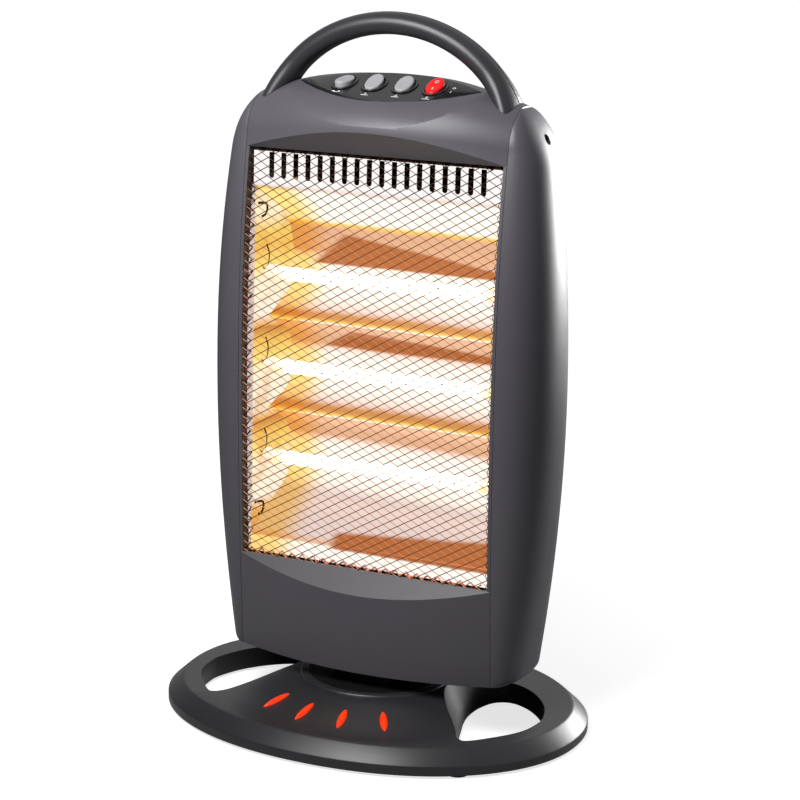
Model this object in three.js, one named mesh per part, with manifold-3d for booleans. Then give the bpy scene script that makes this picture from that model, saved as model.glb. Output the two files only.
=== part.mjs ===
// A free-standing halogen heater with three lamps, on a base that it swings on.
// Millimetres. +Z is up and the heater faces -Y. The origin is the middle of the base, on the floor.
import * as THREE from "three";
import { mergeVertices } from "three/addons/utils/BufferGeometryUtils.js";
import Module from "manifold-3d";

const wasm = await Module();
wasm.setup();

// ---------------------------------------------------------------- driving dimensions

const GAP = 0.3; // between pieces that touch
const WALL = 2.4; // moulded shells
const SHEET = 0.8; // reflector, cheeks and heat shield

// The body, without its side covers
const BODY_BOTTOM = 42;
const HOUSING_HALF = 101; // half width of the front and rear housings
const FRONT_PEAK_Z = 290; // height at which the front stands furthest forward
const FRONT_PEAK_Y = -34.5;
const FRONT_BOW_BELOW = 1.95e-4; // how fast the front falls back, per mm squared
const FRONT_BOW_ABOVE = 5.3e-4;
const FRONT_MIDDLE_Y = -42.3; // the front is straight up and down on the middle line
const REAR_PEAK_Z = 150;
const REAR_PEAK_Y = 54;
const REAR_BOW = 2e-4;
const REAR_CROWN = 6; // the rear's middle stands this far behind its edges
const SHOULDER_EDGE_Z = 426; // where the front begins to roll over to the top
const SHOULDER_MIDDLE_Z = 432;
const TOP_EDGE_Z = 455;
const TOP_MIDDLE_Z = 473;
const TOP_Y = 5; // the ridge of the top
const SPLIT_Y = 24; // joint between the front and rear housings

// Side covers
const COVER_BULGE = 32.5; // how far a cover stands out at its widest
const COVER_WIDEST_Z = 252;
const COVER_BOW = 3.9e-4;
const COVER_ROUND_Z = 415; // where a cover's shoulder begins
const COVER_TOP_Z = 454;
const COVER_SHOULDER_POWER = 0.8;
const COVER_POWER = 2.3; // 2 would make the plan section an ellipse
const COVER_FOOT = 5; // radius of the bottom edge
const COVER_SCREW_Y = 6;
const COVER_SCREW_Z = 433;
const COVER_SCREW_BORE = 3.8;
const COVER_SCREW_DEPTH = 5; // from the housings' side out to the screw's seat
const COVER_SCREW_SEAT = HOUSING_HALF + COVER_SCREW_DEPTH;
const COVER_SCREW_LONG = 15;
const COVER_BOSS_LONG = 13;
const COVER_REACH = 20; // how far a cover's block runs into the body before it is trimmed

// Window in the front
const WINDOW_HALF = HOUSING_HALF - WALL;
const WINDOW_BOTTOM = 115;
const WINDOW_TOP = 416;
const LEDGE_RUN = 40; // longer than any ledge
const LEDGE_SLOPE = 1.07;

// Slanting deck, its panel and the scoop below it
const DECK_Y = -2;
const DECK_Z = 463;
const DECK_TILT = THREE.MathUtils.degToRad(19.8);
const PANEL_INSET = 30; // from the housings' side in to the panel's tip
const PANEL_HALF = HOUSING_HALF - PANEL_INSET;
const PANEL_FRONT = 26.6; // measured down the deck from the panel's tips
const PANEL_REAR = 22.3;
const PANEL_THICK = 2.5;
const POCKET = 2.2;
const SCOOP_TIP_ANGLE = THREE.MathUtils.degToRad(14);
const SCOOP_MIDDLE_ANGLE = THREE.MathUtils.degToRad(49);
const SCOOP_REACH = 70; // longer than the scoop

// Rocker switches
const SWITCH_PITCH = 0.331 * PANEL_HALF;
const ROCKER_HALF_X = 6.25;
const ROCKER_HALF_Y = 9.5;
const ROCKER_CLEAR = 0.6;
const ROCKER_TILT = THREE.MathUtils.degToRad(9);
const ROCKER_UP = 3.2;
const ROCKER_DOWN = 3;
const BEZEL_HALF_X = 9;
const BEZEL_HALF_Y = 12.2;
const BEZEL_UP = 1.2;
const SWITCH_HALF_X = 7.9;
const SWITCH_HALF_Y = 11;
const SWITCH_DEEP = 16;
const SWITCH_POWER = 2.2; // of the ovals that the switches are made of
const SWITCH_SIDES = 18;

// Handle
const ARCH_Z = 420; // middle of the arch's ellipse
const ARCH_INSET = 3.8;
const ARCH_HALF = HOUSING_HALF - ARCH_INSET;
const ARCH_RISE = 86.6;
const BAR_THICK = 16;
const BAR_WIDE = 22;
const BAR_FLARE = 8; // the feet are this much wider, to the front and to the rear
const FOOT_ANGLE = THREE.MathUtils.degToRad(14); // round the arch
const FLARE_ANGLE = THREE.MathUtils.degToRad(42);
const HANDLE_Y = 2; // the bar's middle, where its two halves meet
const HANDLE_SCREW_INSET = 11;
const HANDLE_SCREW_X = HOUSING_HALF - HANDLE_SCREW_INSET;
const HANDLE_SCREW_Y = -4;
const HANDLE_SCREW_SEAT = 448;
const HANDLE_SCREW_LONG = 13;

// Wire guard
const GUARD_CLEAR = 0.4; // room between the guard and the window's walls
const GUARD_HALF = WINDOW_HALF - GUARD_CLEAR;
const GUARD_THICK = 1;
const GUARD_RECESS = 0.4; // behind the window's edge
const GUARD_FLANGE = 6.5;
const GUARD_COLUMNS = 4; // cells side by side in the fuller rows
const GUARD_ROWS = 15;
const GUARD_MARGIN_X = 18.2; // plain edge beside the fuller rows
const GUARD_MARGIN_Z = 6.5;
const GUARD_STRAND = 2.6;

// Reflector and lamps
const LAMP_Z = [184, 253, 322];
const LAMP_Y = -2;
const LAMP_RADIUS = 5;
const CAP_RADIUS = 6;
const CAP_LONG = 10.2;
const CAP_OUTER = GUARD_HALF;
const CAP_INNER = CAP_OUTER - CAP_LONG;
const STRIP_Y = -22;
const STRIP_TOP = 413;
const STRIP_BOTTOM = 389;
const LIP_Y = -20.5;
const LIP_BOTTOM = WINDOW_BOTTOM;
const LIP_TOP = 128;
const TROUGH_Y = 25; // deepest line of each trough
const CREST_Y = -3;
const CREST_LIFT = 2; // a crest stands this much above the middle between two lamps
const SHOULDER_Y = 3; // a trough's shoulders are this much shallower than its deepest line
const SHOULDER_Z = 14; // and this far from its crests
const FLAT_HALF = 12; // half height of the upper trough's flat
const SLOPE_Y = 7; // foot of the slope below the strip, forward from the deepest line
const SLOPE_DROP = 27;
const LOW_TROUGH_Y = 4; // foot of the lowest trough
const LOW_TROUGH_DROP = 20;
const SLOT_COUNT = 18;
const SLOT_RADIUS = 1.9;
const SLOT_BOTTOM = 396;
const CHEEK_CLEAR = 1; // from the guard's edge in to a cheek
const CHEEK_LEAN = 9.4; // a cheek's rear stands this much further in than its front
const CHEEK_FRONT_X = GUARD_HALF - CHEEK_CLEAR; // inner face, at the front
const CHEEK_REAR_X = CHEEK_FRONT_X - CHEEK_LEAN;
const CHEEK_BEND_Y = -19;
const CHEEK_SETBACK = 7.5; // behind the window's edge
const SHIELD_Y = 31;
const SHIELD_INSET = 5;
const SHIELD_HALF = HOUSING_HALF - SHIELD_INSET;
const SHIELD_SHORT = 10.5; // the shield ends this far inside the window's top and bottom
const SHIELD_BOTTOM = WINDOW_BOTTOM + SHIELD_SHORT;
const SHIELD_TOP = WINDOW_TOP - SHIELD_SHORT;
const POST_INSET = 15; // posts behind the shield
const POST_RADIUS = 4;
const SLOT_PITCH = (1.8 * CHEEK_FRONT_X) / SLOT_COUNT;

// Air slots in the rear, in three columns
const LOUVRE_MARGIN = 11; // from the housings' side to the outer slots
const LOUVRE_SPACE = 6; // between columns
const LOUVRE_HIGH = 4.4;
const LOUVRE_STEP = 30;
const LOUVRE_LOW_Z = 130;
const LOUVRE_HIGH_Z = 300;

// Base
const BASE_HALF_X = 161;
const BASE_HALF_Y = 125.5;
const BASE_POWER = 2.1;
const BASE_UNDER = 2; // the rim's lower edge clears the floor by this
const BASE_LIP = 8;
const BASE_TOP = 18;
const BASE_BEVEL = 11;
const BRIDGE_RAISE = 0.6; // the bridge stands this much above the rim
const HUB_RADIUS = 56;
const HUB_TOP = 31;
const HUB_LEDGE = 1.6; // from the hub's rim down to the bridge
const HUB_SLOPE = 56; // how far from the hub the bridge is as low as the rim
// Plan of the right opening, as points of a smooth closed curve. The first number is the share of the
// way from the hub to the base's side, and the second that of the way from the middle to its rear.
// The inner wall leans, so the side by the bridge is given at the floor and at the hub's height. The
// side by the rim stands upright.
const OPENING_RIM = [
  [0.419, 0.406],
  [0.552, 0.311],
  [0.667, 0.175],
  [0.733, 0.032],
  [0.752, -0.08],
  [0.714, -0.255],
  [0.59, -0.422],
];
const OPENING_LOW = [
  [0.419, -0.558],
  [0.333, -0.422],
  [0.257, -0.271],
  [0.2, -0.127],
  [0.152, 0],
  [0.124, 0.127],
  [0.129, 0.271],
  [0.181, 0.398],
  [0.286, 0.446],
];
const OPENING_HIGH = [
  [0.419, -0.558],
  [0.271, -0.406],
  [0.133, -0.263],
  [0.048, -0.12],
  [0.01, 0],
  [0.014, 0.127],
  [0.048, 0.255],
  [0.133, 0.39],
  [0.267, 0.446],
];
// Edge of the raised bridge: from its rear, past the opening's front corner and out over the rim.
const BRIDGE_EDGE = [
  [0.267, 1.116],
  [0.267, -0.303],
  [0.419, -0.558],
  [0.533, -0.645],
  [0.752, -0.741],
  [0.752, -1.116],
];
const PLATE_THICK = 1.6;
const FOOT_RADIUS = 8;
const FOOT_STEM = 2;
const FOOT_X = BASE_HALF_X - 7 * FOOT_RADIUS;
const FOOT_Y = BASE_HALF_Y - 5 * FOOT_RADIUS;
const GLAND_RADIUS = 4.5;
const GLAND_BORE = 2.5;
const GLAND_LONG = 9;
const GLAND_Z = 11;
const LENS_COUNT = 4;
const LENS_INSET = 38; // from the base's front edge back to the middle of a lens
const LENS_RING = BASE_HALF_Y - LENS_INSET;
const LENS_STEP = THREE.MathUtils.degToRad(19.7);
const LENS_LONG = 22;
const LENS_WIDE = 5.6;
const LENS_HIGH = 2.4;

// Swivel and its drive
const RACE_RADIUS = 50;
const RACE_THICK = 2;
const COLLAR_RADIUS = 30;
const COLLAR_TOP = 38.6;
const TUBE_RADIUS = 11;
const TUBE_BORE = 8;
const TUBE_TOP = 59;
const FLANGE_THICK = 1.9;
const ARM_Z = 52;
const ARM_THICK = 2.5;
const ARM_HALF = 7;
const NUT_RADIUS = 15.5; // over the corners
const CRANK_DISTANCE = 24; // from the swivel's axis to the motor's
const CRANK_THROW = 13.8;
const CRANK_RADIUS = 17;
const CRANK_Z = 60;
const CRANK_THICK = 2.5;
const PIN_RADIUS = 1.5;
const SLOT_CLEAR = 2.3; // the pin's room to each side in the arm's slot
const MOTOR_RADIUS = 20;
const MOTOR_HIGH = 20;
const BRACKET_THICK = 1.5;
const BRACKET_HALF = 36;

// Tip-over switch
const TIP_OUT = 24; // from the hub back to the plunger
const TIP_Y = HUB_RADIUS + TIP_OUT;
const TIP_HALF_X = 9;
const TIP_HALF_Y = 8;
const TIP_TOP = 19;
const PLUNGER_RADIUS = 3;
const PLUNGER_LENGTH = 10.7;

// Screws
const SCREW_RADIUS = 2;
const SCREW_HEAD = 3.5;
const SCREW_HEAD_HIGH = 2.4;
const BOSS_RADIUS = 5;
const REAR_SCREW_X = 62;
const REAR_SCREW_LOW_Z = 72;
const REAR_SCREW_HIGH_Z = 430;
const REAR_SCREW_LONG = 14;

// ---------------------------------------------------------------- solids

const FAR = 400; // further than any face of the heater
const ROUND = 18; // sides of a small round piece

// A closed geometry as a manifold solid, turned right side out.
function solid(geometry) {
  const bare = geometry.index ? geometry.toNonIndexed() : geometry.clone();
  for (const name of Object.keys(bare.attributes)) {
    if (name !== "position") bare.deleteAttribute(name);
  }
  const merged = mergeVertices(bare, 1e-4);
  const made = new wasm.Manifold(
    new wasm.Mesh({
      numProp: 3,
      vertProperties: new Float32Array(merged.attributes.position.array),
      triVerts: new Uint32Array(merged.index.array),
    }),
  );
  return made;
}

function box(x0, x1, y0, y1, z0, z1) {
  const geometry = new THREE.BoxGeometry(x1 - x0, y1 - y0, z1 - z0);
  return solid(geometry.translate((x0 + x1) / 2, (y0 + y1) / 2, (z0 + z1) / 2));
}

// A round bar along Z.
function rod(radius, x, y, z0, z1, sides = ROUND) {
  const geometry = new THREE.CylinderGeometry(radius, radius, z1 - z0, sides);
  return solid(geometry.rotateX(Math.PI / 2).translate(x, y, (z0 + z1) / 2));
}

// A round bar along X.
function rodAlongX(radius, y, z, x0, x1, sides = ROUND) {
  const geometry = new THREE.CylinderGeometry(radius, radius, x1 - x0, sides);
  return solid(geometry.rotateZ(Math.PI / 2).translate((x0 + x1) / 2, y, z));
}

// A round bar along Y.
function rodAlongY(radius, x, z, y0, y1, sides = ROUND) {
  const geometry = new THREE.CylinderGeometry(radius, radius, y1 - y0, sides);
  return solid(geometry.translate(x, (y0 + y1) / 2, z));
}

function outline(points) {
  return new THREE.Shape(points.map(([a, b]) => new THREE.Vector2(a, b)));
}

// An outline in X and Y, pushed along Z.
function pushZ(points, z0, z1) {
  const geometry = new THREE.ExtrudeGeometry(outline(points), { depth: z1 - z0, bevelEnabled: false });
  return solid(geometry.translate(0, 0, z0));
}

// An outline in Y and Z, pushed along X.
function pushX(points, x0, x1) {
  const geometry = new THREE.ExtrudeGeometry(outline(points), { depth: x1 - x0, bevelEnabled: false });
  const turn = new THREE.Matrix4().makeBasis(
    new THREE.Vector3(0, 1, 0),
    new THREE.Vector3(0, 0, 1),
    new THREE.Vector3(1, 0, 0),
  );
  return solid(geometry.applyMatrix4(turn).translate(x0, 0, 0));
}

// An outline in X and Z, pushed along Y.
function pushY(points, y0, y1) {
  const geometry = new THREE.ExtrudeGeometry(outline(points), { depth: y1 - y0, bevelEnabled: false });
  return solid(geometry.rotateX(Math.PI / 2).translate(0, y1, 0));
}

// A skin through rings of points, all with as many points, closed by a fan at both ends.
function loft(rings) {
  const count = rings[0].length;
  const corners = rings.flat();
  const faces = [];
  for (let ring = 0; ring + 1 < rings.length; ring++) {
    for (let i = 0; i < count; i++) {
      const a = ring * count + i;
      const b = ring * count + ((i + 1) % count);
      faces.push(a, b, b + count, a, b + count, a + count);
    }
  }
  for (const [start, flip] of [[0, true], [(rings.length - 1) * count, false]]) {
    const middle = corners.length;
    const sum = new THREE.Vector3();
    for (let i = 0; i < count; i++) sum.add(corners[start + i]);
    corners.push(sum.divideScalar(count));
    for (let i = 0; i < count; i++) {
      const a = start + i;
      const b = start + ((i + 1) % count);
      faces.push(...(flip ? [b, a, middle] : [a, b, middle]));
    }
  }
  const volume = faces.reduce((total, corner, i) => {
    if (i % 3) return total;
    const [p, q, r] = [corner, faces[i + 1], faces[i + 2]].map((n) => corners[n]);
    return total + p.dot(new THREE.Vector3().crossVectors(q, r));
  }, 0);
  if (volume < 0) faces.reverse();
  const geometry = new THREE.BufferGeometry().setFromPoints(corners).setIndex(faces);
  return solid(geometry);
}

function union(parts) {
  return parts.reduce((whole, part) => whole.add(part));
}

function mirrored(part) {
  return part.mirror([1, 0, 0]);
}

function steps(from, to, count) {
  return Array.from({ length: count + 1 }, (_, i) => from + ((to - from) * i) / count);
}

// Points of an oval with the given power, 2 being an ellipse.
function oval(halfX, halfY, power = 2, count = 48) {
  return steps(0, 2 * Math.PI, count).slice(0, -1).map((angle) => {
    const c = Math.cos(angle);
    const s = Math.sin(angle);
    return [
      halfX * Math.sign(c) * Math.abs(c) ** (2 / power),
      halfY * Math.sign(s) * Math.abs(s) ** (2 / power),
    ];
  });
}

// ---------------------------------------------------------------- the body's form

// Edge of the front beside the window, seen from the side.
function frontEdge(z) {
  const away = z - FRONT_PEAK_Z;
  return FRONT_PEAK_Y + (away < 0 ? FRONT_BOW_BELOW : FRONT_BOW_ABOVE) * away * away;
}

function rearEdge(z) {
  return REAR_PEAK_Y - REAR_BOW * (z - REAR_PEAK_Z) ** 2;
}

// Closed section of the housings at a share of their half width: 0 is the middle and 1 the edge.
// A grown section lies outside the body, and one grown by less than nothing inside it.
function bodySection(share, grow) {
  const middle = 1 - share * share;
  const front = (z) => frontEdge(z) + (FRONT_MIDDLE_Y - frontEdge(z)) * middle - grow;
  const rear = (z) => rearEdge(z) + REAR_CROWN * middle + grow;
  const shoulder = THREE.MathUtils.lerp(SHOULDER_EDGE_Z, SHOULDER_MIDDLE_Z, middle);
  const top = THREE.MathUtils.lerp(TOP_EDGE_Z, TOP_MIDDLE_Z, middle) + grow;
  const points = steps(BODY_BOTTOM - grow, shoulder, 8).map((z) => [front(z), z]);
  const arc = (edge, count) =>
    steps(0, Math.PI / 2, count).slice(1).map((angle) => [
      TOP_Y + (edge - TOP_Y) * Math.cos(angle),
      shoulder + (top - shoulder) * Math.sin(angle),
    ]);
  points.push(...arc(front(shoulder), 8));
  points.push(...arc(rear(shoulder), 6).reverse().slice(1), [rear(shoulder), shoulder]);
  points.push(...steps(shoulder, BODY_BOTTOM - grow, 5).slice(1).map((z) => [rear(z), z]));
  return points;
}

function bodyBlock(half, grow) {
  const rings = steps(-1, 1, 10).map((side) =>
    bodySection(Math.abs(side), grow).map(([y, z]) => new THREE.Vector3(side * half, y, z)),
  );
  return loft(rings);
}

// What is taken off the front over the window, with its two slanting ledges, set back by a wall.
function windowRecess(back) {
  const corner = 0.395 * back; // keeps the wall's thickness behind the slanting ledges
  const low = WINDOW_BOTTOM - corner;
  const high = WINDOW_TOP + corner;
  const edge = steps(low, high, 8).map((z) => [frontEdge(z) + back, z]);
  const [lowY] = edge[0];
  const [highY] = edge[edge.length - 1];
  return pushX(
    [
      ...edge,
      [highY - LEDGE_RUN, high + LEDGE_RUN * LEDGE_SLOPE],
      [lowY - LEDGE_RUN, low - LEDGE_RUN * LEDGE_SLOPE],
    ],
    -FAR,
    FAR,
  );
}

// Moves a piece from the deck's own frame, with Z off the deck, to the heater's.
const deckFrame = new THREE.Matrix4()
  .makeTranslation(0, DECK_Y, DECK_Z)
  .multiply(new THREE.Matrix4().makeRotationX(DECK_TILT));

function onDeck(part) {
  return part.transform(deckFrame.elements);
}

// Lens outline of the panel in the deck's frame.
function lensOutline(shrink) {
  const half = PANEL_HALF - 2 * shrink;
  const bow = (u, depth) => (depth - shrink) * (1 - (u / half) ** 2);
  return [
    ...steps(-half, half, 14).map((u) => [u, -bow(u, PANEL_FRONT)]),
    ...steps(half, -half, 14).slice(1, -1).map((u) => [u, bow(u, PANEL_REAR)]),
  ];
}

function aboveDeck(sink) {
  return onDeck(box(-FAR, FAR, -FAR, FAR, -sink, FAR));
}

// What the scoop takes off: all that lies in front of straight lines that leave the panel's front
// edge downwards, steeply in the middle and nearly flat at the tips.
function scoopBlock(back) {
  const rings = steps(-1, 1, 16).map((side) => {
    const x = side * (PANEL_HALF + 1);
    const middle = 1 - side * side;
    const angle = THREE.MathUtils.lerp(SCOOP_TIP_ANGLE, SCOOP_MIDDLE_ANGLE, middle);
    const run = PANEL_FRONT * middle + 1;
    const y = DECK_Y - run * Math.cos(DECK_TILT) + back;
    const z = DECK_Z - run * Math.sin(DECK_TILT);
    const low = z - SCOOP_REACH * Math.sin(angle);
    return [
      [y - SCOOP_REACH * Math.cos(angle), low],
      [y, z],
      [y, z + SCOOP_REACH],
      [y - SCOOP_REACH * 2, z + SCOOP_REACH],
      [y - SCOOP_REACH * 2, low],
    ].map(([py, pz]) => new THREE.Vector3(x, py, pz));
  });
  return loft(rings);
}

const outerBody = bodyBlock(HOUSING_HALF, 0)
  .subtract(windowRecess(0))
  .subtract(aboveDeck(0))
  .subtract(scoopBlock(0));
const innerBody = bodyBlock(HOUSING_HALF - WALL, -WALL)
  .subtract(windowRecess(WALL))
  .subtract(aboveDeck(POCKET + WALL))
  .subtract(scoopBlock(WALL));
const bodyShell = outerBody.subtract(innerBody);
const inFront = box(-FAR, FAR, -FAR, SPLIT_Y, -FAR, 2 * FAR);
const behind = box(-FAR, FAR, SPLIT_Y + GAP, FAR, -FAR, 2 * FAR);

// ---------------------------------------------------------------- side covers

function coverBulge(z) {
  const barrel = COVER_BULGE - COVER_BOW * (z - COVER_WIDEST_Z) ** 2;
  if (z > COVER_ROUND_Z) {
    const rise = (z - COVER_ROUND_Z) / (COVER_TOP_Z - COVER_ROUND_Z);
    return barrel * (1 - rise * rise) ** COVER_SHOULDER_POWER;
  }
  const foot = Math.min(1, (z - BODY_BOTTOM) / COVER_FOOT);
  return barrel - COVER_FOOT * (1 - Math.sqrt(1 - (1 - foot) ** 2));
}

// Front and rear lines of a cover, which are those of the body's edge.
function coverEnds(z) {
  if (z <= SHOULDER_EDGE_Z) return [frontEdge(z), rearEdge(z)];
  const rise = Math.min(1, (z - SHOULDER_EDGE_Z) / (TOP_EDGE_Z - SHOULDER_EDGE_Z));
  const share = Math.sqrt(1 - rise * rise);
  return [frontEdge(SHOULDER_EDGE_Z), rearEdge(SHOULDER_EDGE_Z)].map((y) => TOP_Y + (y - TOP_Y) * share);
}

// A cover as a solid block, which runs into the body.
function coverBlock(grow) {
  const inner = HOUSING_HALF - COVER_REACH;
  const top = COVER_TOP_Z - 0.4;
  const heights = [
    ...steps(BODY_BOTTOM, BODY_BOTTOM + COVER_FOOT, 2),
    ...steps(BODY_BOTTOM + COVER_FOOT, COVER_ROUND_Z, 8).slice(1),
    ...steps(0, Math.PI / 2, 7).slice(1).map((a) => COVER_ROUND_Z + (top - COVER_ROUND_Z) * Math.sin(a)),
  ];
  const middleZ = (BODY_BOTTOM + COVER_TOP_Z) / 2;
  const stretch = (COVER_TOP_Z - BODY_BOTTOM + 2 * grow) / (COVER_TOP_Z - BODY_BOTTOM);
  const rings = heights.map((z) => {
    const [front, rear] = coverEnds(z);
    const centre = (front + rear) / 2;
    const deep = (rear - front) / 2 + grow;
    const out = Math.max(coverBulge(z) + grow, 0.2);
    const placed = middleZ + (z - middleZ) * stretch;
    const arc = steps(-Math.PI / 2, Math.PI / 2, 16).map((angle) => {
      const c = Math.max(Math.cos(angle), 0);
      const s = Math.sin(angle);
      const y = centre + deep * Math.sign(s) * Math.abs(s) ** (2 / COVER_POWER);
      return new THREE.Vector3(HOUSING_HALF + out * c ** (2 / COVER_POWER), y, placed);
    });
    const last = arc[arc.length - 1];
    const first = arc[0];
    return [...arc, new THREE.Vector3(inner, last.y, placed), new THREE.Vector3(inner, first.y, placed)];
  });
  return loft(rings);
}

const coverOuter = coverBlock(0).intersect(
  box(HOUSING_HALF + GAP, FAR, -FAR, FAR, -FAR, 2 * FAR),
);
const coverInner = coverBlock(-WALL);

// A round bar along X on the line of the cover's screw.
function coverScrewRod(radius, from, to, sides = ROUND) {
  return rodAlongX(radius, COVER_SCREW_Y, COVER_SCREW_Z, from, to, sides);
}

const screwTube = coverScrewRod(COVER_SCREW_BORE + WALL, COVER_SCREW_SEAT - WALL, FAR);
const screwBore = coverScrewRod(COVER_SCREW_BORE, COVER_SCREW_SEAT, FAR);
const screwHole = coverScrewRod(SCREW_RADIUS + GAP, 0, FAR, 16);
const rightCover = coverOuter
  .subtract(coverInner)
  .add(screwTube.intersect(coverOuter))
  .subtract(screwBore)
  .subtract(screwHole);

// ---------------------------------------------------------------- housings

function switchX(index) {
  return (index - 1.5) * SWITCH_PITCH;
}

// Holes for the four switches, in the deck's frame.
const switchHole = pushZ(
  oval(SWITCH_HALF_X + GAP, SWITCH_HALF_Y + GAP, SWITCH_POWER, SWITCH_SIDES),
  -FAR / 10,
  FAR / 10,
);
const switchHoles = union([0, 1, 2, 3].map((index) => switchHole.translate([switchX(index), 0, 0])));

const tubeHole = rod(TUBE_RADIUS + GAP, 0, 0, 0, 2 * BODY_BOTTOM);
const coverBoss = coverScrewRod(BOSS_RADIUS, HOUSING_HALF - COVER_BOSS_LONG, HOUSING_HALF - 1, 16);

// A round bar along Z on the line of the handle's screw, from below its seat.
function handleScrewRod(radius, below, above, sides) {
  const seat = HANDLE_SCREW_SEAT;
  return rod(radius, HANDLE_SCREW_X, HANDLE_SCREW_Y, seat - below, seat + above, sides);
}

const handleBoss = handleScrewRod(BOSS_RADIUS, 0, HANDLE_SCREW_LONG, 16);
const handleBore = handleScrewRod(SCREW_RADIUS + GAP, WALL, HANDLE_SCREW_LONG + 2 * GAP, 12);

function rearBoss(x, z) {
  return rodAlongY(BOSS_RADIUS, x, z, -FAR, SPLIT_Y, 16);
}

function rearBore(x, z) {
  return rodAlongY(SCREW_RADIUS + GAP, x, z, -SPLIT_Y, FAR, 12);
}

const rearScrewPlaces = [-1, 1].flatMap((side) =>
  [REAR_SCREW_LOW_Z, REAR_SCREW_HIGH_Z].map((z) => [side * REAR_SCREW_X, z]),
);

function frontHousing() {
  const bosses = union([
    handleBoss,
    mirrored(handleBoss),
    coverBoss,
    mirrored(coverBoss),
    ...rearScrewPlaces.map(([x, z]) => rearBoss(x, z)),
  ]);
  const bores = union([
    handleBore,
    mirrored(handleBore),
    screwHole,
    mirrored(screwHole),
    ...rearScrewPlaces.map(([x, z]) => rearBore(x, z)),
    tubeHole,
  ]);
  const window = box(-WINDOW_HALF, WINDOW_HALF, -FAR, 0, WINDOW_BOTTOM, WINDOW_TOP);
  const pocket = onDeck(pushZ(lensOutline(0), -POCKET, FAR / 10));
  return bodyShell
    .add(bosses.intersect(outerBody))
    .intersect(inFront)
    .subtract(window)
    .subtract(pocket)
    .subtract(onDeck(switchHoles))
    .subtract(bores);
}

// Rows of air slots through the rear wall.
function louvres() {
  const pitch = (2 * (HOUSING_HALF - LOUVRE_MARGIN)) / 3;
  const half = (pitch - LOUVRE_SPACE) / 2;
  const rows = [LOUVRE_LOW_Z, LOUVRE_HIGH_Z].flatMap((z) => steps(z, z + 3 * LOUVRE_STEP, 3));
  const slots = [-pitch, 0, pitch].flatMap((x) =>
    rows.map((z) =>
      box(x - half, x + half, SPLIT_Y + SHIELD_INSET, FAR, z - LOUVRE_HIGH / 2, z + LOUVRE_HIGH / 2),
    ),
  );
  return union(slots);
}

function rearHousing() {
  const cups = union(
    rearScrewPlaces.map(([x, z]) => rodAlongY(SCREW_HEAD + WALL, x, z, SPLIT_Y + GAP, FAR, 16)),
  );
  const wells = union(
    rearScrewPlaces.map(([x, z]) => rodAlongY(SCREW_HEAD + GAP, x, z, SPLIT_Y + GAP + WALL, FAR, 16)),
  );
  const postX = HOUSING_HALF - POST_INSET;
  const postFront = SHIELD_Y + SHEET + GAP;
  const posts = union(
    [-postX, postX].flatMap((x) =>
      [SHIELD_BOTTOM + POST_INSET, SHIELD_TOP - 2 * POST_INSET].map((z) =>
        rodAlongY(POST_RADIUS, x, z, postFront, FAR, 12),
      ),
    ),
  );
  const bores = union([...rearScrewPlaces.map(([x, z]) => rearBore(x, z)), tubeHole]);
  return bodyShell
    .intersect(behind)
    .subtract(louvres())
    .add(cups.add(posts).intersect(outerBody))
    .subtract(wells)
    .subtract(bores);
}

// ---------------------------------------------------------------- handle

// Section of the bar at an angle round the arch.
function barRing(angle) {
  const [c, s] = [Math.cos(angle), Math.sin(angle)];
  const centre = new THREE.Vector3(ARCH_HALF * c, HANDLE_Y, ARCH_Z + ARCH_RISE * s);
  const out = new THREE.Vector3(c / ARCH_HALF, 0, s / ARCH_RISE).normalize();
  const fromFoot = Math.min(angle, Math.PI - angle);
  const flare = BAR_FLARE * (1 - THREE.MathUtils.smoothstep(fromFoot, FOOT_ANGLE, FLARE_ANGLE));
  return oval(BAR_THICK / 2, BAR_WIDE / 2 + flare, 2.2, 16).map(([a, b]) =>
    centre.clone().addScaledVector(out, a).add(new THREE.Vector3(0, b, 0)),
  );
}

function handleBar() {
  return loft(steps(FOOT_ANGLE, Math.PI - FOOT_ANGLE, 26).map(barRing))
    .subtract(bodyBlock(HOUSING_HALF + 0.01, GAP))
    .subtract(coverBlock(GAP))
    .subtract(mirrored(coverBlock(GAP)))
    .subtract(handleBore)
    .subtract(mirrored(handleBore));
}

// ---------------------------------------------------------------- switches

// Rocker in its own frame, tilted about X. Its ends stand higher than its middle.
function rockerSolid(tilt) {
  const rows = [
    [-ROCKER_DOWN, 0.86],
    [0, 1],
    [ROCKER_UP - 1, 1],
    [ROCKER_UP, 0.86],
  ];
  const rings = rows.map(([w, share]) =>
    oval(ROCKER_HALF_X * share, ROCKER_HALF_Y * share, SWITCH_POWER, SWITCH_SIDES).map(
      ([u, v]) => new THREE.Vector3(u, v, w + (w > 1 ? 0.006 * v * v : 0)),
    ),
  );
  return loft(rings).rotate([THREE.MathUtils.radToDeg(tilt), 0, 0]);
}

function switchSolid() {
  const shape = (halfX, halfY) => oval(halfX, halfY, SWITCH_POWER, SWITCH_SIDES);
  const rim = pushZ(shape(BEZEL_HALF_X, BEZEL_HALF_Y), PANEL_THICK - POCKET + GAP, BEZEL_UP);
  const block = pushZ(shape(SWITCH_HALF_X, SWITCH_HALF_Y), -SWITCH_DEEP, BEZEL_UP - 0.2);
  const legs = union(
    [-1, 0, 1].map((row) => box(-3, 3, row * 7 - 0.4, row * 7 + 0.4, -SWITCH_DEEP - 6, -SWITCH_DEEP + 1)),
  );
  const well = pushZ(
    shape(ROCKER_HALF_X + ROCKER_CLEAR, ROCKER_HALF_Y + ROCKER_CLEAR + 0.2),
    -ROCKER_DOWN - 3,
    FAR / 10,
  );
  return rim.add(block).add(legs).subtract(well);
}

function panelSolid() {
  const bottom = -POCKET + GAP;
  return pushZ(lensOutline(GAP), bottom, bottom + PANEL_THICK - GAP).subtract(switchHoles);
}

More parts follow.
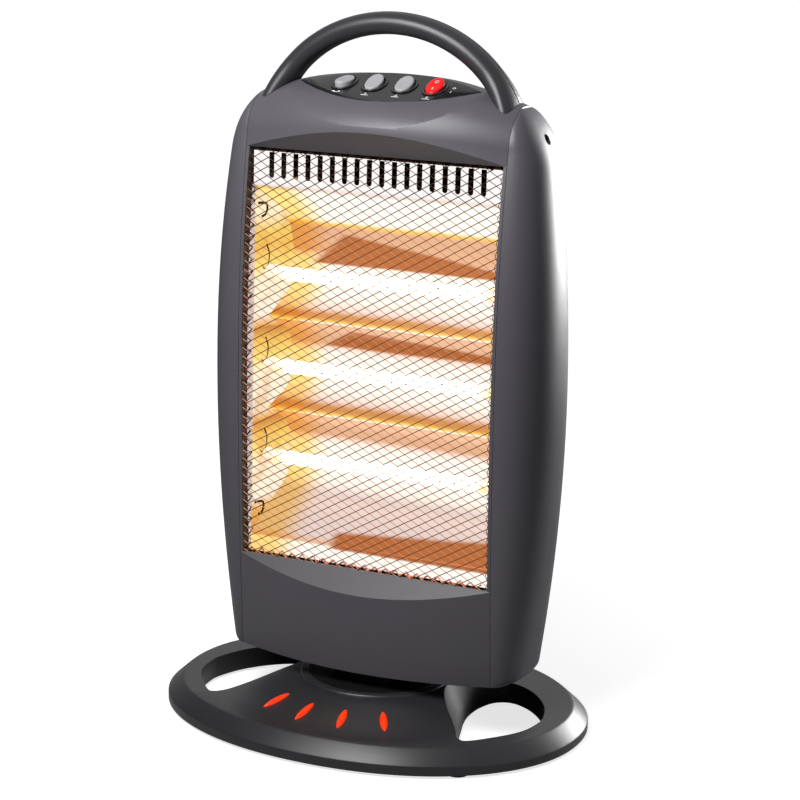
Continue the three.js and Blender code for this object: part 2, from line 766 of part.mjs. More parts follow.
// ---------------------------------------------------------------- wire guard

function guardSolid() {
  const heights = steps(WINDOW_BOTTOM + GAP, WINDOW_TOP - GAP, 8);
  const face = (back) => heights.map((z) => [frontEdge(z) + back, z]);
  const band = (from, to) => [...face(from), ...face(to).reverse()];
  const sheet = pushX(band(GUARD_RECESS, GUARD_RECESS + GUARD_THICK), -GUARD_HALF, GUARD_HALF);
  const deep = pushX(band(GUARD_RECESS, GUARD_FLANGE), -GUARD_HALF, GUARD_HALF);
  const room = box(
    -GUARD_HALF + GUARD_THICK,
    GUARD_HALF - GUARD_THICK,
    -FAR,
    FAR,
    WINDOW_BOTTOM + GAP + GUARD_THICK,
    WINDOW_TOP - GAP - GUARD_THICK,
  );
  const cellX = (2 * (GUARD_HALF - GUARD_MARGIN_X)) / GUARD_COLUMNS;
  const rowStep = (WINDOW_TOP - WINDOW_BOTTOM - 2 * GUARD_MARGIN_Z) / (GUARD_ROWS + 1);
  const halfX = cellX / 2 - GUARD_STRAND;
  const halfZ = rowStep * (1 - (2 * GUARD_STRAND) / cellX);
  const cells = steps(1, GUARD_ROWS, GUARD_ROWS - 1).flatMap((row) => {
    const count = row % 2 ? GUARD_COLUMNS : GUARD_COLUMNS - 1;
    const z = WINDOW_BOTTOM + GUARD_MARGIN_Z + row * rowStep;
    return steps(0, count - 1, count - 1).map((column) => {
      const x = (column - (count - 1) / 2) * cellX;
      return pushY([[x - halfX, z], [x, z - halfZ], [x + halfX, z], [x, z + halfZ]], -FAR, 0);
    });
  });
  return deep.subtract(room).add(sheet).subtract(union(cells));
}

// ---------------------------------------------------------------- reflector and lamps

// The troughs as a line in Y and Z, from the strip at the top down to the lip.
function troughLine() {
  const [low, middle, high] = LAMP_Z;
  const crestHigh = (high + middle) / 2 + CREST_LIFT;
  const crestLow = (middle + low) / 2 + CREST_LIFT;
  const shoulder = TROUGH_Y - SHOULDER_Y;
  return [
    [STRIP_Y, STRIP_TOP],
    [STRIP_Y, STRIP_BOTTOM],
    [TROUGH_Y - SLOPE_Y, STRIP_BOTTOM - SLOPE_DROP],
    [TROUGH_Y, high + FLAT_HALF],
    [TROUGH_Y - 1, high - FLAT_HALF],
    [CREST_Y, crestHigh],
    [shoulder, crestHigh - SHOULDER_Z],
    [TROUGH_Y, middle],
    [shoulder, crestLow + SHOULDER_Z],
    [CREST_Y, crestLow],
    [shoulder, crestLow - SHOULDER_Z],
    [TROUGH_Y, low],
    [TROUGH_Y - LOW_TROUGH_Y, low - LOW_TROUGH_DROP],
    [LIP_Y, LIP_TOP],
    [LIP_Y, LIP_BOTTOM],
  ];
}

// A bent sheet: the line, and the line moved back by the sheet's thickness.
function bentSheet(line, thick) {
  const back = line.map((point, i) => {
    const before = line[Math.max(i - 1, 0)];
    const after = line[Math.min(i + 1, line.length - 1)];
    const unit = (p, q) => new THREE.Vector2(q[0] - p[0], q[1] - p[1]).normalize();
    const first = i > 0 ? unit(before, point) : unit(point, after);
    const second = i < line.length - 1 ? unit(point, after) : unit(before, point);
    const normal = new THREE.Vector2(-first.y - second.y, first.x + second.x).normalize();
    const spread = normal.dot(new THREE.Vector2(-first.y, first.x));
    return [point[0] + (normal.x * thick) / spread, point[1] + (normal.y * thick) / spread];
  });
  return [...line, ...back.reverse()];
}

// Plan of the room between the cheeks, less a gap.
function betweenCheeks(gap) {
  const front = CHEEK_FRONT_X - gap;
  const rear = CHEEK_REAR_X - gap;
  const half = [
    [front, -FAR / 10],
    [front, CHEEK_BEND_Y],
    [rear, TROUGH_Y + 1],
    [rear - 2, FAR / 10],
  ];
  return [...half, ...half.map(([x, y]) => [-x, y]).reverse()];
}

function reflectorSolid() {
  const sheet = pushX(bentSheet(troughLine(), SHEET), -FAR / 2, FAR / 2);
  const slots = steps(0, SLOT_COUNT - 1, SLOT_COUNT - 1).map((i) => {
    const x = (i - (SLOT_COUNT - 1) / 2) * SLOT_PITCH;
    const foot = steps(Math.PI, 2 * Math.PI, 6).map((a) => [
      x + SLOT_RADIUS * Math.cos(a),
      SLOT_BOTTOM + SLOT_RADIUS * Math.sin(a),
    ]);
    const open = STRIP_TOP - 2;
    return pushY([...foot, [x + SLOT_RADIUS, open], [x - SLOT_RADIUS, open]], STRIP_Y - 5, STRIP_Y + 5);
  });
  return sheet.intersect(pushZ(betweenCheeks(GAP), 0, 2 * FAR)).subtract(union(slots));
}

function cheekSolid() {
  const plan = [
    [CHEEK_FRONT_X, -FAR / 10],
    [CHEEK_FRONT_X, CHEEK_BEND_Y],
    [CHEEK_REAR_X, TROUGH_Y + 1],
    [CHEEK_REAR_X + SHEET, TROUGH_Y + 1],
    [CHEEK_FRONT_X + SHEET, CHEEK_BEND_Y],
    [CHEEK_FRONT_X + SHEET, -FAR / 10],
  ];
  const low = LIP_BOTTOM + 1;
  const high = STRIP_BOTTOM;
  const edge = steps(low, high, 8).map((z) => [frontEdge(z) + CHEEK_SETBACK, z]);
  const side = pushX([...edge, [FAR, high], [FAR, low]], 0, FAR);
  const holes = union(LAMP_Z.map((z) => rodAlongX(CAP_RADIUS + GAP, LAMP_Y, z, 0, FAR, 20)));
  return pushZ(plan, low, high).intersect(side).subtract(holes);
}

// ---------------------------------------------------------------- base

// A point of the base's plan from its shares.
function inPlan([across, along]) {
  return [THREE.MathUtils.lerp(HUB_RADIUS, BASE_HALF_X, across), along * BASE_HALF_Y];
}

// Height of the bridge at a distance from the swivel's axis.
function bridgeTop(distance) {
  const fall = THREE.MathUtils.smoothstep(distance, HUB_RADIUS, HUB_RADIUS + HUB_SLOPE);
  return THREE.MathUtils.lerp(HUB_TOP - HUB_LEDGE, BASE_TOP + BRIDGE_RAISE, fall);
}

// The oval form with its bevelled edge, shrunk by an amount all round.
function baseOval(shrink, bottom, raise, top) {
  const rows = [
    [0, bottom],
    [0, BASE_LIP + raise],
    [BASE_BEVEL, BASE_TOP + raise - shrink],
    [BASE_BEVEL, top],
  ];
  const rings = rows.map(([inset, z]) =>
    oval(BASE_HALF_X - shrink - inset, BASE_HALF_Y - shrink - inset, BASE_POWER, 52).map(
      ([x, y]) => new THREE.Vector3(x, y, z),
    ),
  );
  return loft(rings);
}

// The dome round the swivel that makes the bridge.
function bridgeDome(shrink, bottom) {
  const outer = BASE_HALF_X;
  const distances = [outer, ...steps(HUB_RADIUS + HUB_SLOPE, HUB_RADIUS, 6)];
  const ring = (radius, z) => oval(radius, radius, 2, 36).map(([x, y]) => new THREE.Vector3(x, y, z));
  const rings = [
    ring(outer, bottom),
    ...distances.map((distance) => ring(distance, bridgeTop(distance) - shrink)),
  ];
  const edge = BRIDGE_EDGE.map(inPlan);
  const plan = [...edge, ...edge.map(([x, y]) => [-x, y]).reverse()];
  return loft(rings).intersect(pushZ(plan, -FAR, FAR));
}

// Curve through points, moved outwards by an amount.
function smoothLoop(points, grow) {
  const curve = new THREE.CatmullRomCurve3(points.map(([x, y]) => new THREE.Vector3(x, y, 0)), true);
  const count = 2 * points.length;
  return steps(0, 1, count).slice(1).map((share) => {
    const point = curve.getPoint(share);
    const along = curve.getTangent(share);
    return [point.x - along.y * grow, point.y + along.x * grow];
  });
}

// What is taken out of the base for the right opening.
function opening(grow) {
  const ring = (inner, z) =>
    smoothLoop([...inner, ...OPENING_RIM].map(inPlan), grow).map(([x, y]) => new THREE.Vector3(x, y, z));
  return loft([ring(OPENING_LOW, -1), ring(OPENING_LOW, BASE_UNDER), ring(OPENING_HIGH, HUB_TOP)]);
}

const lensPlaces = steps(0, LENS_COUNT - 1, LENS_COUNT - 1).map((i) => {
  const angle = (i - (LENS_COUNT - 1) / 2) * LENS_STEP;
  return { angle, x: LENS_RING * Math.sin(angle), y: -LENS_RING * Math.cos(angle) };
});

const footPlaces = [-1, 1].flatMap((side) => [-1, 1].map((end) => [side * FOOT_X, end * FOOT_Y]));

// The oval body of the base, with the bridge, before anything is cut.
function baseForm(shrink, bottom) {
  const hole = opening(shrink);
  const bridge = bridgeDome(shrink, bottom).intersect(baseOval(shrink, bottom, BRIDGE_RAISE, FAR));
  const disc = baseOval(shrink, bottom, 0, BASE_TOP - shrink + 0.01);
  return disc.add(bridge).subtract(hole).subtract(mirrored(hole));
}

const UNDER_HUB = HUB_TOP - RACE_THICK - GAP - WALL;

function baseShell() {
  const hub = rod(HUB_RADIUS, 0, 0, BASE_LIP, HUB_TOP, 48);
  const race = rod(RACE_RADIUS + GAP, 0, 0, HUB_TOP - RACE_THICK - GAP, FAR, 40);
  const hollow = baseForm(WALL, BASE_UNDER - 1);
  const padBottom = BASE_UNDER + PLATE_THICK + GAP;
  const pads = union(
    footPlaces.map(([x, y]) => rod(FOOT_RADIUS + 1, x, y, padBottom, BASE_TOP - WALL - GAP, 16)),
  );
  const gland = rodAlongY(GLAND_RADIUS + GAP, 0, GLAND_Z, BASE_HALF_Y - 3 * BASE_BEVEL, FAR, 16);
  return baseForm(0, BASE_UNDER)
    .add(hub)
    .subtract(hollow.intersect(box(-FAR, FAR, -FAR, FAR, 0, UNDER_HUB)))
    .add(pads.intersect(baseForm(1, BASE_UNDER)))
    .subtract(race)
    .subtract(rod(TUBE_RADIUS + GAP, 0, 0, 0, FAR, 32))
    .subtract(gland);
}

function basePlate() {
  const ring = baseForm(WALL + GAP, BASE_UNDER);
  return ring
    .intersect(box(-FAR, FAR, -FAR, FAR, BASE_UNDER, BASE_UNDER + PLATE_THICK))
    .subtract(rod(PLUNGER_RADIUS + GAP, 0, TIP_Y, -FAR, FAR))
    .subtract(union(footPlaces.map(([x, y]) => rod(FOOT_STEM + GAP, x, y, 0, BASE_LIP, 12))));
}

// A leaf-shaped lens that lies along a ray from the hub, on the sloping bridge.
function lensSolid({ angle, x, y }) {
  const rings = steps(-1, 1, 10).map((along) => {
    const wide = (LENS_WIDE / 2) * Math.max(1 - along * along, 0.02) ** 0.8;
    const high = LENS_HIGH * Math.max(1 - along * along, 0.05) ** 0.6;
    return steps(0, Math.PI, 8).map((a) => {
      const side = wide * Math.cos(a);
      const radial = LENS_RING + (along * LENS_LONG) / 2;
      const px = radial * Math.sin(angle) + side * Math.cos(angle);
      const py = -radial * Math.cos(angle) + side * Math.sin(angle);
      return new THREE.Vector3(px, py, bridgeTop(radial) + GAP + high * Math.sin(a));
    });
  });
  return loft(rings);
}

// ---------------------------------------------------------------- swivel and drive

function driveArm() {
  const reach = CRANK_DISTANCE + CRANK_THROW + PIN_RADIUS + SLOT_CLEAR;
  const near = 20;
  const half = PIN_RADIUS + SLOT_CLEAR;
  const blade = pushZ(
    [[-ARM_HALF, 0], [ARM_HALF, 0], [ARM_HALF, reach + 2], [-ARM_HALF, reach + 2]],
    ARM_Z,
    ARM_Z + ARM_THICK,
  );
  const eye = rod(TUBE_RADIUS + 5, 0, 0, ARM_Z, ARM_Z + ARM_THICK, 32);
  const slot = pushZ([[-half, near], [half, near], [half, reach], [-half, reach]], 0, FAR);
  return blade.add(eye).subtract(slot).subtract(rod(TUBE_RADIUS + GAP, 0, 0, 0, FAR, 32));
}

function crankSolid() {
  const disc = rod(CRANK_RADIUS, 0, CRANK_DISTANCE, CRANK_Z, CRANK_Z + CRANK_THICK, 32);
  const pin = rod(PIN_RADIUS, 0, CRANK_DISTANCE + CRANK_THROW, ARM_Z - 0.5, CRANK_Z + 1, 12);
  const bore = rod(2.5 + GAP, 0, CRANK_DISTANCE, 0, FAR, 16);
  return disc.add(pin).subtract(bore);
}

const BRACKET_Z = CRANK_Z + CRANK_THICK + 1;
const MOTOR_Z = BRACKET_Z + BRACKET_THICK + GAP;

function motorSolid() {
  const can = rod(MOTOR_RADIUS, 0, CRANK_DISTANCE, MOTOR_Z, MOTOR_Z + MOTOR_HIGH, 32);
  return can.add(rod(2.5, 0, CRANK_DISTANCE, CRANK_Z + 0.2, MOTOR_Z + 1, 12));
}

function bracketSolid() {
  const floor = BODY_BOTTOM + WALL + GAP;
  const low = 10;
  const high = 40;
  const plate = box(-BRACKET_HALF, BRACKET_HALF, low, high, BRACKET_Z, BRACKET_Z + BRACKET_THICK);
  const leg = box(BRACKET_HALF - BRACKET_THICK, BRACKET_HALF, low, high, floor, BRACKET_Z + 0.5);
  const toe = box(BRACKET_HALF - BRACKET_THICK, BRACKET_HALF + 10, low, high, floor, floor + BRACKET_THICK);
  return plate
    .add(leg)
    .add(mirrored(leg))
    .add(toe)
    .add(mirrored(toe))
    .subtract(rod(4, 0, CRANK_DISTANCE, 0, FAR, 16));
}

// ---------------------------------------------------------------- screws

function screwAlongZ(x, y, seat, length) {
  const shaft = rod(SCREW_RADIUS, x, y, seat, seat + length, 12);
  return shaft.add(rod(SCREW_HEAD, x, y, seat - SCREW_HEAD_HIGH, seat, 16));
}

function screwAlongX(y, z, seat, length) {
  const shaft = rodAlongX(SCREW_RADIUS, y, z, seat - length, seat, 12);
  return shaft.add(rodAlongX(SCREW_HEAD, y, z, seat, seat + SCREW_HEAD_HIGH, 16));
}

function screwAlongY(x, z, seat, length) {
  const shaft = rodAlongY(SCREW_RADIUS, x, z, seat - length, seat, 12);
  return shaft.add(rodAlongY(SCREW_HEAD, x, z, seat, seat + SCREW_HEAD_HIGH, 16));
}

// ---------------------------------------------------------------- materials and the scene

const finish = (color, roughness, metalness = 0) =>
  new THREE.MeshStandardMaterial({ color, roughness, metalness });

const charcoal = finish("#4a484b", 0.6);
const darkPlastic = finish("#232323", 0.5);
const gloss = finish("#19191b", 0.15);
const greyButton = finish("#a8a8a8", 0.45);
const redButton = finish("#d92323", 0.35);
const redLens = finish("#e8401f", 0.15);
const polished = finish("#d8d4cc", 0.12, 1);
const steel = finish("#9a9a98", 0.35, 1);
const blackWire = finish("#1d1a19", 0.5, 0.6);
const quartz = finish("#fff2cf", 0.1);
const ceramic = finish("#d9c9bd", 0.7);
const rubber = finish("#161616", 0.9);
const blackPlastic = finish("#1a1a1a", 0.6);

const heater = new THREE.Group();

function add(name, part, material, parent = heater) {
  const made = part.getMesh();
  const geometry = new THREE.BufferGeometry();
  geometry.setAttribute("position", new THREE.BufferAttribute(made.vertProperties, 3));
  geometry.setIndex(new THREE.BufferAttribute(made.triVerts, 1));
  const mesh = new THREE.Mesh(geometry, material);
  mesh.name = name;
  parent.add(mesh);
  return mesh;
}

// Base
add("base_shell", baseShell(), darkPlastic);
add("base_bottom_plate", basePlate(), blackPlastic);
lensPlaces.forEach((place, i) => add(`indicator_lens_${i + 1}`, lensSolid(place), redLens));
footPlaces.forEach(([x, y], i) => {
  const pad = rod(FOOT_RADIUS, x, y, 0, BASE_UNDER - GAP);
  const stem = rod(FOOT_STEM, x, y, 0, BASE_UNDER + PLATE_THICK, 12);
  add(`rubber_foot_${i + 1}`, pad.add(stem), rubber);
});
const glandEnd = BASE_HALF_Y - 1;
const gland = rodAlongY(GLAND_RADIUS, 0, GLAND_Z, glandEnd - GLAND_LONG, glandEnd, 16);
add("cord_gland", gland.subtract(rodAlongY(GLAND_BORE, 0, GLAND_Z, 0, FAR, 12)), rubber);
const plateTop = BASE_UNDER + PLATE_THICK + GAP;
const tipBlock = box(-TIP_HALF_X, TIP_HALF_X, TIP_Y - TIP_HALF_Y, TIP_Y + TIP_HALF_Y, plateTop, TIP_TOP);
const tipWell = rod(PLUNGER_RADIUS + GAP, 0, TIP_Y, 0, PLUNGER_LENGTH + 3);
add("tip_switch_body", tipBlock.subtract(tipWell), blackPlastic);
add("tip_plunger", rod(PLUNGER_RADIUS, 0, TIP_Y, GAP, PLUNGER_LENGTH), greyButton);

// Swivel
const bore = rod(TUBE_RADIUS + GAP, 0, 0, 0, FAR, 32);
add("swivel_race", rod(RACE_RADIUS, 0, 0, HUB_TOP - RACE_THICK, HUB_TOP, 40).subtract(bore), steel);
add("swivel_collar", rod(COLLAR_RADIUS, 0, 0, HUB_TOP + GAP, COLLAR_TOP, 40).subtract(bore), darkPlastic);
const flangeTop = UNDER_HUB - GAP;
const tubeFlange = rod(TUBE_RADIUS + 8, 0, 0, flangeTop - FLANGE_THICK, flangeTop);
const tube = rod(TUBE_RADIUS, 0, 0, flangeTop - FLANGE_THICK, TUBE_TOP, 32);
add("pivot_tube", tube.add(tubeFlange).subtract(rod(TUBE_BORE, 0, 0, 0, FAR)), steel);
add("drive_arm", driveArm(), steel);
const nutZ = ARM_Z + ARM_THICK + GAP;
add("pivot_nut", rod(NUT_RADIUS, 0, 0, nutZ, nutZ + 3, 6).subtract(bore), steel);
const discTop = BODY_BOTTOM - GAP;
add("turntable_disc", rod(COLLAR_RADIUS + 6, 0, 0, COLLAR_TOP + GAP, discTop, 40).subtract(bore), steel);

// Drive
add("motor_bracket", bracketSolid(), steel);
add("oscillation_motor", motorSolid(), steel);
add("drive_crank", crankSolid(), greyButton);

// Body
add("front_housing", frontHousing(), charcoal);
add("rear_housing", rearHousing(), charcoal);
add("right_side_cover", rightCover, charcoal);
add("left_side_cover", mirrored(rightCover), charcoal);
const bar = handleBar();
add("handle_front", bar.intersect(box(-FAR, FAR, -FAR, HANDLE_Y - GAP / 2, 0, 2 * FAR)), darkPlastic);
add("handle_rear", bar.intersect(box(-FAR, FAR, HANDLE_Y + GAP / 2, FAR, 0, 2 * FAR)), darkPlastic);

// Panel and switches
const deck = new THREE.Group();
deck.position.set(0, DECK_Y, DECK_Z);
deck.rotation.x = DECK_TILT;
heater.add(deck);
add("control_panel", panelSolid(), gloss, deck);
const switchNames = ["oscillation", "power_1", "power_2", "power_3"];
switchNames.forEach((name, i) => {
  const place = new THREE.Group();
  place.position.x = switchX(i);
  deck.add(place);
  const tilt = i === 0 ? -ROCKER_TILT : ROCKER_TILT;
  add(`${name}_switch`, switchSolid(), blackPlastic, place);
  add(`${name}_rocker`, rockerSolid(tilt), i === 3 ? redButton : greyButton, place);
});

// Behind the window
add("wire_guard", guardSolid(), blackWire);
add("reflector", reflectorSolid(), polished);
const cheek = cheekSolid();
add("reflector_cheek_right", cheek, polished);
add("reflector_cheek_left", mirrored(cheek), polished);
LAMP_Z.forEach((z, i) => {
  const end = CAP_INNER - GAP;
  add(`lamp_tube_${i + 1}`, rodAlongX(LAMP_RADIUS, LAMP_Y, z, -end, end), quartz);
  const cap = rodAlongX(CAP_RADIUS, LAMP_Y, z, CAP_INNER, CAP_OUTER, 20);
  add(`lamp_cap_right_${i + 1}`, cap, ceramic);
  add(`lamp_cap_left_${i + 1}`, mirrored(cap), ceramic);
});
const shield = box(-SHIELD_HALF, SHIELD_HALF, SHIELD_Y, SHIELD_Y + SHEET, SHIELD_BOTTOM, SHIELD_TOP);
add("heat_shield", shield, steel);

// Screws
const handleSeat = HANDLE_SCREW_SEAT - GAP;
const handleScrew = screwAlongZ(HANDLE_SCREW_X, HANDLE_SCREW_Y, handleSeat, HANDLE_SCREW_LONG);
add("handle_screw_right", handleScrew, steel);
add("handle_screw_left", mirrored(handleScrew), steel);
const coverSeat = COVER_SCREW_SEAT + GAP;
const coverScrew = screwAlongX(COVER_SCREW_Y, COVER_SCREW_Z, coverSeat, COVER_SCREW_LONG);
add("cover_screw_right", coverScrew, steel);
add("cover_screw_left", mirrored(coverScrew), steel);
rearScrewPlaces.forEach(([x, z], i) => {
  add(`rear_screw_${i + 1}`, screwAlongY(x, z, SPLIT_Y + WALL + 2 * GAP, REAR_SCREW_LONG), steel);
});

export default heater;
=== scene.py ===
# %% [markdown]
# # A halogen heater on a swinging base
#
# This lesson dresses a plain CAD model of a room heater. Its moulded shell holds three glowing lamps in
# front of a troughed mirror, behind a fine wire guard, and the whole head swings on an oval base. The
# CAD model gives every place and size. Blender gives the true curves, the fine mesh and the finishes.

import math

import bmesh
import bpy
import numpy as np
from mathutils import Matrix, Vector


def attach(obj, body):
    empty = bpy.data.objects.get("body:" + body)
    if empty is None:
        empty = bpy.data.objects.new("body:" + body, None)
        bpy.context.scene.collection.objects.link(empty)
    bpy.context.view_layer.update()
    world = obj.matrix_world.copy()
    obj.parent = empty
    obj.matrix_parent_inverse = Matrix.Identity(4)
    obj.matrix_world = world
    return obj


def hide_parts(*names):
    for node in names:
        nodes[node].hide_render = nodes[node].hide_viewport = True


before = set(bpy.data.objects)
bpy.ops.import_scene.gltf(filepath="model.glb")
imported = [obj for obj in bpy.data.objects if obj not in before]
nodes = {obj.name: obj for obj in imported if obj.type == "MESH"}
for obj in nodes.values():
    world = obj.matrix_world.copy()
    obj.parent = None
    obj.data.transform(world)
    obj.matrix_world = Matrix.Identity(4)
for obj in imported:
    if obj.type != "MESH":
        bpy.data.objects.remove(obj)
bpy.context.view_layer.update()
MM = 0.001  # every shape below is worked out in millimetres
print("CAD nodes:", len(nodes))

# %% [markdown]
# ## Camera
#
# The camera stands where a photographer's would: in front, a little to the right and slightly above,
# with a long lens. Its place was worked out from the heater's own straight edges, so a shape that is
# right in millimetres also falls in the right place in the picture.

# %% Camera
CAMERA_AZIMUTH = math.radians(25.22)
CAMERA_ELEVATION = math.radians(12.82)
CAMERA_ROLL = math.radians(1.52)
CAMERA_PLACE = (0.69327, -1.44359, 0.60146)
SENSOR = 36.0
FOCAL_PIXELS = 2267.94  # focal length in pixels of the picture
PICTURE_WIDTH = 800
LENS = SENSOR * FOCAL_PIXELS / PICTURE_WIDTH


def photo_camera():
    """A camera whose own axes are: back, from the azimuth and elevation; right, level; up, square to both.
    The last two are turned by the roll."""
    a, e, r = CAMERA_AZIMUTH, CAMERA_ELEVATION, CAMERA_ROLL
    back = np.array([math.sin(a) * math.cos(e), -math.cos(a) * math.cos(e), math.sin(e)])
    right = np.array([math.cos(a), math.sin(a), 0.0])
    up = np.cross(back, right)
    across = right * math.cos(r) + up * math.sin(r)
    upward = -right * math.sin(r) + up * math.cos(r)
    data = bpy.data.cameras.new("photo_camera")
    data.lens = LENS
    data.sensor_width = SENSOR
    data.clip_end = 50
    camera = bpy.data.objects.new("photo_camera", data)
    bpy.context.scene.collection.objects.link(camera)
    turn = Matrix(np.stack([across, upward, back], 1).tolist()).to_4x4()
    camera.matrix_world = Matrix.Translation(CAMERA_PLACE) @ turn
    bpy.context.scene.camera = camera


photo_camera()
print("lens", round(LENS, 1), "mm")

# %% [markdown]
# ## Tools for making surfaces
#
# Nearly every piece is a skin through rings of points, like paper stretched over ribs. A helper joins
# the rings with four-sided faces, closes both ends and turns the faces outwards.


# %% Skins
def grid_faces(rows, columns):
    """Four indices for every cell between neighbouring points of a grid whose rows are closed rings."""
    a, b = np.meshgrid(np.arange(rows - 1), np.arange(columns), indexing="ij")
    a2, b2 = a + 1, (b + 1) % columns
    cells = [a * columns + b, a * columns + b2, a2 * columns + b2, a2 * columns + b]
    return np.stack(cells, -1).reshape(-1, 4)


def volume(points, faces):
    """Signed volume in a skin of four-sided faces: the sum of the cones from the origin."""
    p = points[faces]
    first = np.einsum("ij,ij->i", p[:, 0], np.cross(p[:, 1], p[:, 2]))
    second = np.einsum("ij,ij->i", p[:, 0], np.cross(p[:, 2], p[:, 3]))
    return (first.sum() + second.sum()) / 6


def skin(rings):
    """A closed skin through rings of equally many points, as (points, faces). Both ends are flat."""
    rings = np.asarray(rings, float)
    count, around = rings.shape[:2]
    points = rings.reshape(-1, 3)
    faces = grid_faces(count, around)
    ends = [list(range(around))[::-1], list(range((count - 1) * around, count * around))]
    centred = points - points.mean(0)
    caps = 0.0
    for end in ends:
        p = centred[end]
        first = np.broadcast_to(p[0], p[1:-1].shape)
        caps += np.einsum("ij,ij->i", first, np.cross(p[1:-1], p[2:])).sum() / 6
    inside_out = volume(centred, faces) + caps < 0
    every = faces.tolist() + ends
    return points, [face[::-1] for face in every] if inside_out else every


def join(*parts):
    """Several (points, faces) as one."""
    points, faces, start = [], [], 0
    for p, f in parts:
        points.append(p)
        faces += [[i + start for i in face] for face in f]
        start += len(p)
    return np.concatenate(points), faces


def mirror_x(part):
    """The part's mirror image, with its faces turned back outwards."""
    points, faces = part
    return points * [-1, 1, 1], [list(face)[::-1] for face in faces]


def pushed(outline, low, high, axis):
    """A flat outline pushed along an axis: its two numbers fill the other two axes in order."""
    flat = np.asarray(outline, float)
    other = [i for i in range(3) if i != axis]
    rings = np.zeros((2, len(flat), 3))
    rings[:, :, other] = flat
    rings[0, :, axis] = low
    rings[1, :, axis] = high
    return skin(rings)


def block(x0, x1, y0, y1, z0, z1):
    return pushed([(x0, y0), (x1, y0), (x1, y1), (x0, y1)], z0, z1, 2)


def oval(half_a, half_b, power=2.0, count=96):
    """Points of a superellipse: cosine and sine raised to 2 over the power."""
    t = np.linspace(0, 2 * math.pi, count, endpoint=False)
    c, s = np.cos(t), np.sin(t)
    a = half_a * np.sign(c) * np.abs(c) ** (2 / power)
    b = half_b * np.sign(s) * np.abs(s) ** (2 / power)
    return np.stack([a, b], -1)


def stacked(rows, count):
    """Circles one above another round the upright axis, from rows of (radius, height)."""
    return skin([np.column_stack([oval(r, r, 2, count), np.full(count, z)]) for r, z in rows])


def rod(start, end, radius, count=24):
    """A round bar between two points."""
    start, end = np.asarray(start, float), np.asarray(end, float)
    along = (end - start) / np.linalg.norm(end - start)
    side = np.cross(along, [0.0, 0.0, 1.0] if abs(along[2]) < 0.9 else [1.0, 0.0, 0.0])
    side /= np.linalg.norm(side)
    other = np.cross(along, side)
    t = np.linspace(0, 2 * math.pi, count, endpoint=False)[:, None]
    ring = radius * (np.cos(t) * side + np.sin(t) * other)
    return skin([start + ring, end + ring])


# %% [markdown]
# Some pieces are cut, as the real tool's inserts cut the moulding: a window, a pocket, a row of slots.
# A Boolean modifier does that and its result is kept as the piece's own mesh.


# %% Blanks, cuts and finished pieces
def blank(part, name="blank"):
    """A bare object from (points, faces) in millimetres."""
    points, faces = part
    mesh = bpy.data.meshes.new(name)
    mesh.from_pydata((np.asarray(points) * MM).tolist(), [], [list(f) for f in faces])
    made = bpy.data.objects.new(name, mesh)
    bpy.context.scene.collection.objects.link(made)
    return made


def discard(made):
    mesh = made.data
    bpy.data.objects.remove(made)
    bpy.data.meshes.remove(mesh)


def settle(made):
    """Modifiers' result becomes the object's own mesh. Points that lie within 0.005 mm are welded, and
    the three- and four-sided holes that a cut can leave between touching faces are filled."""
    graph = bpy.context.evaluated_depsgraph_get()
    old = made.data
    made.data = bpy.data.meshes.new_from_object(made.evaluated_get(graph))
    made.modifiers.clear()
    bpy.data.meshes.remove(old)
    mesh = bmesh.new()
    mesh.from_mesh(made.data)
    bmesh.ops.remove_doubles(mesh, verts=mesh.verts, dist=0.005 * MM)
    rims = [edge for edge in mesh.edges if edge.is_boundary]
    bmesh.ops.holes_fill(mesh, edges=rims, sides=4)
    mesh.to_mesh(made.data)
    mesh.free()


def carve(made, *steps):
    """Boolean steps in order, each an operation and a (points, faces) or an object."""
    for operation, tool in steps:
        cutter = tool if isinstance(tool, bpy.types.Object) else blank(tool, "cutter")
        change = made.modifiers.new("cut", "BOOLEAN")
        change.operation = operation
        change.solver = "EXACT"
        change.object = cutter
        settle(made)
        discard(cutter)
    return made


def finished(made, name, finish, body, stands_for=(), edge=0.0, smooth=35):
    """Names the piece, rounds its edges by a width in millimetres and gives it its finish and body."""
    made.name = name
    made.data.name = name
    made.data.materials.clear()
    made.data.materials.append(finish)
    made.data.polygons.foreach_set("use_smooth", [True] * len(made.data.polygons))
    made.data.set_sharp_from_angle(angle=math.radians(smooth))
    if edge:
        bevel = made.modifiers.new("edge", "BEVEL")
        bevel.width = edge * MM
        bevel.segments = 2
        bevel.limit_method = "ANGLE"
        bevel.angle_limit = math.radians(38)
        bevel.use_clamp_overlap = True
        bevel.harden_normals = False
    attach(made, body)
    if stands_for:
        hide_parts(*stands_for)
    print(name, len(made.data.vertices), "points")
    return made


# %% [markdown]
# ## Finishes
#
# Colours are written as the hex values that a colour picker would read, and one function turns them into
# the linear light values that the renderer works in.


# %% Colour and nodes
def linear(code):
    """sRGB hex to linear: the standard curve, channel by channel."""
    channels = [int(code[i : i + 2], 16) / 255 for i in (1, 3, 5)]
    return [c / 12.92 if c <= 0.04045 else ((c + 0.055) / 1.055) ** 2.4 for c in channels] + [1.0]


def node(tree, kind, inputs=(), **settings):
    """Adds one node. inputs pairs an input's name or number with a value, or with the output that feeds
    it. settings are the node's own choices, such as its operation."""
    made = tree.nodes.new(kind)
    for key, value in settings.items():
        setattr(made, key, value)
    for key, value in dict(inputs).items():
        if isinstance(value, bpy.types.NodeSocket):
            tree.links.new(value, made.inputs[key])
        else:
            made.inputs[key].default_value = value
    return made


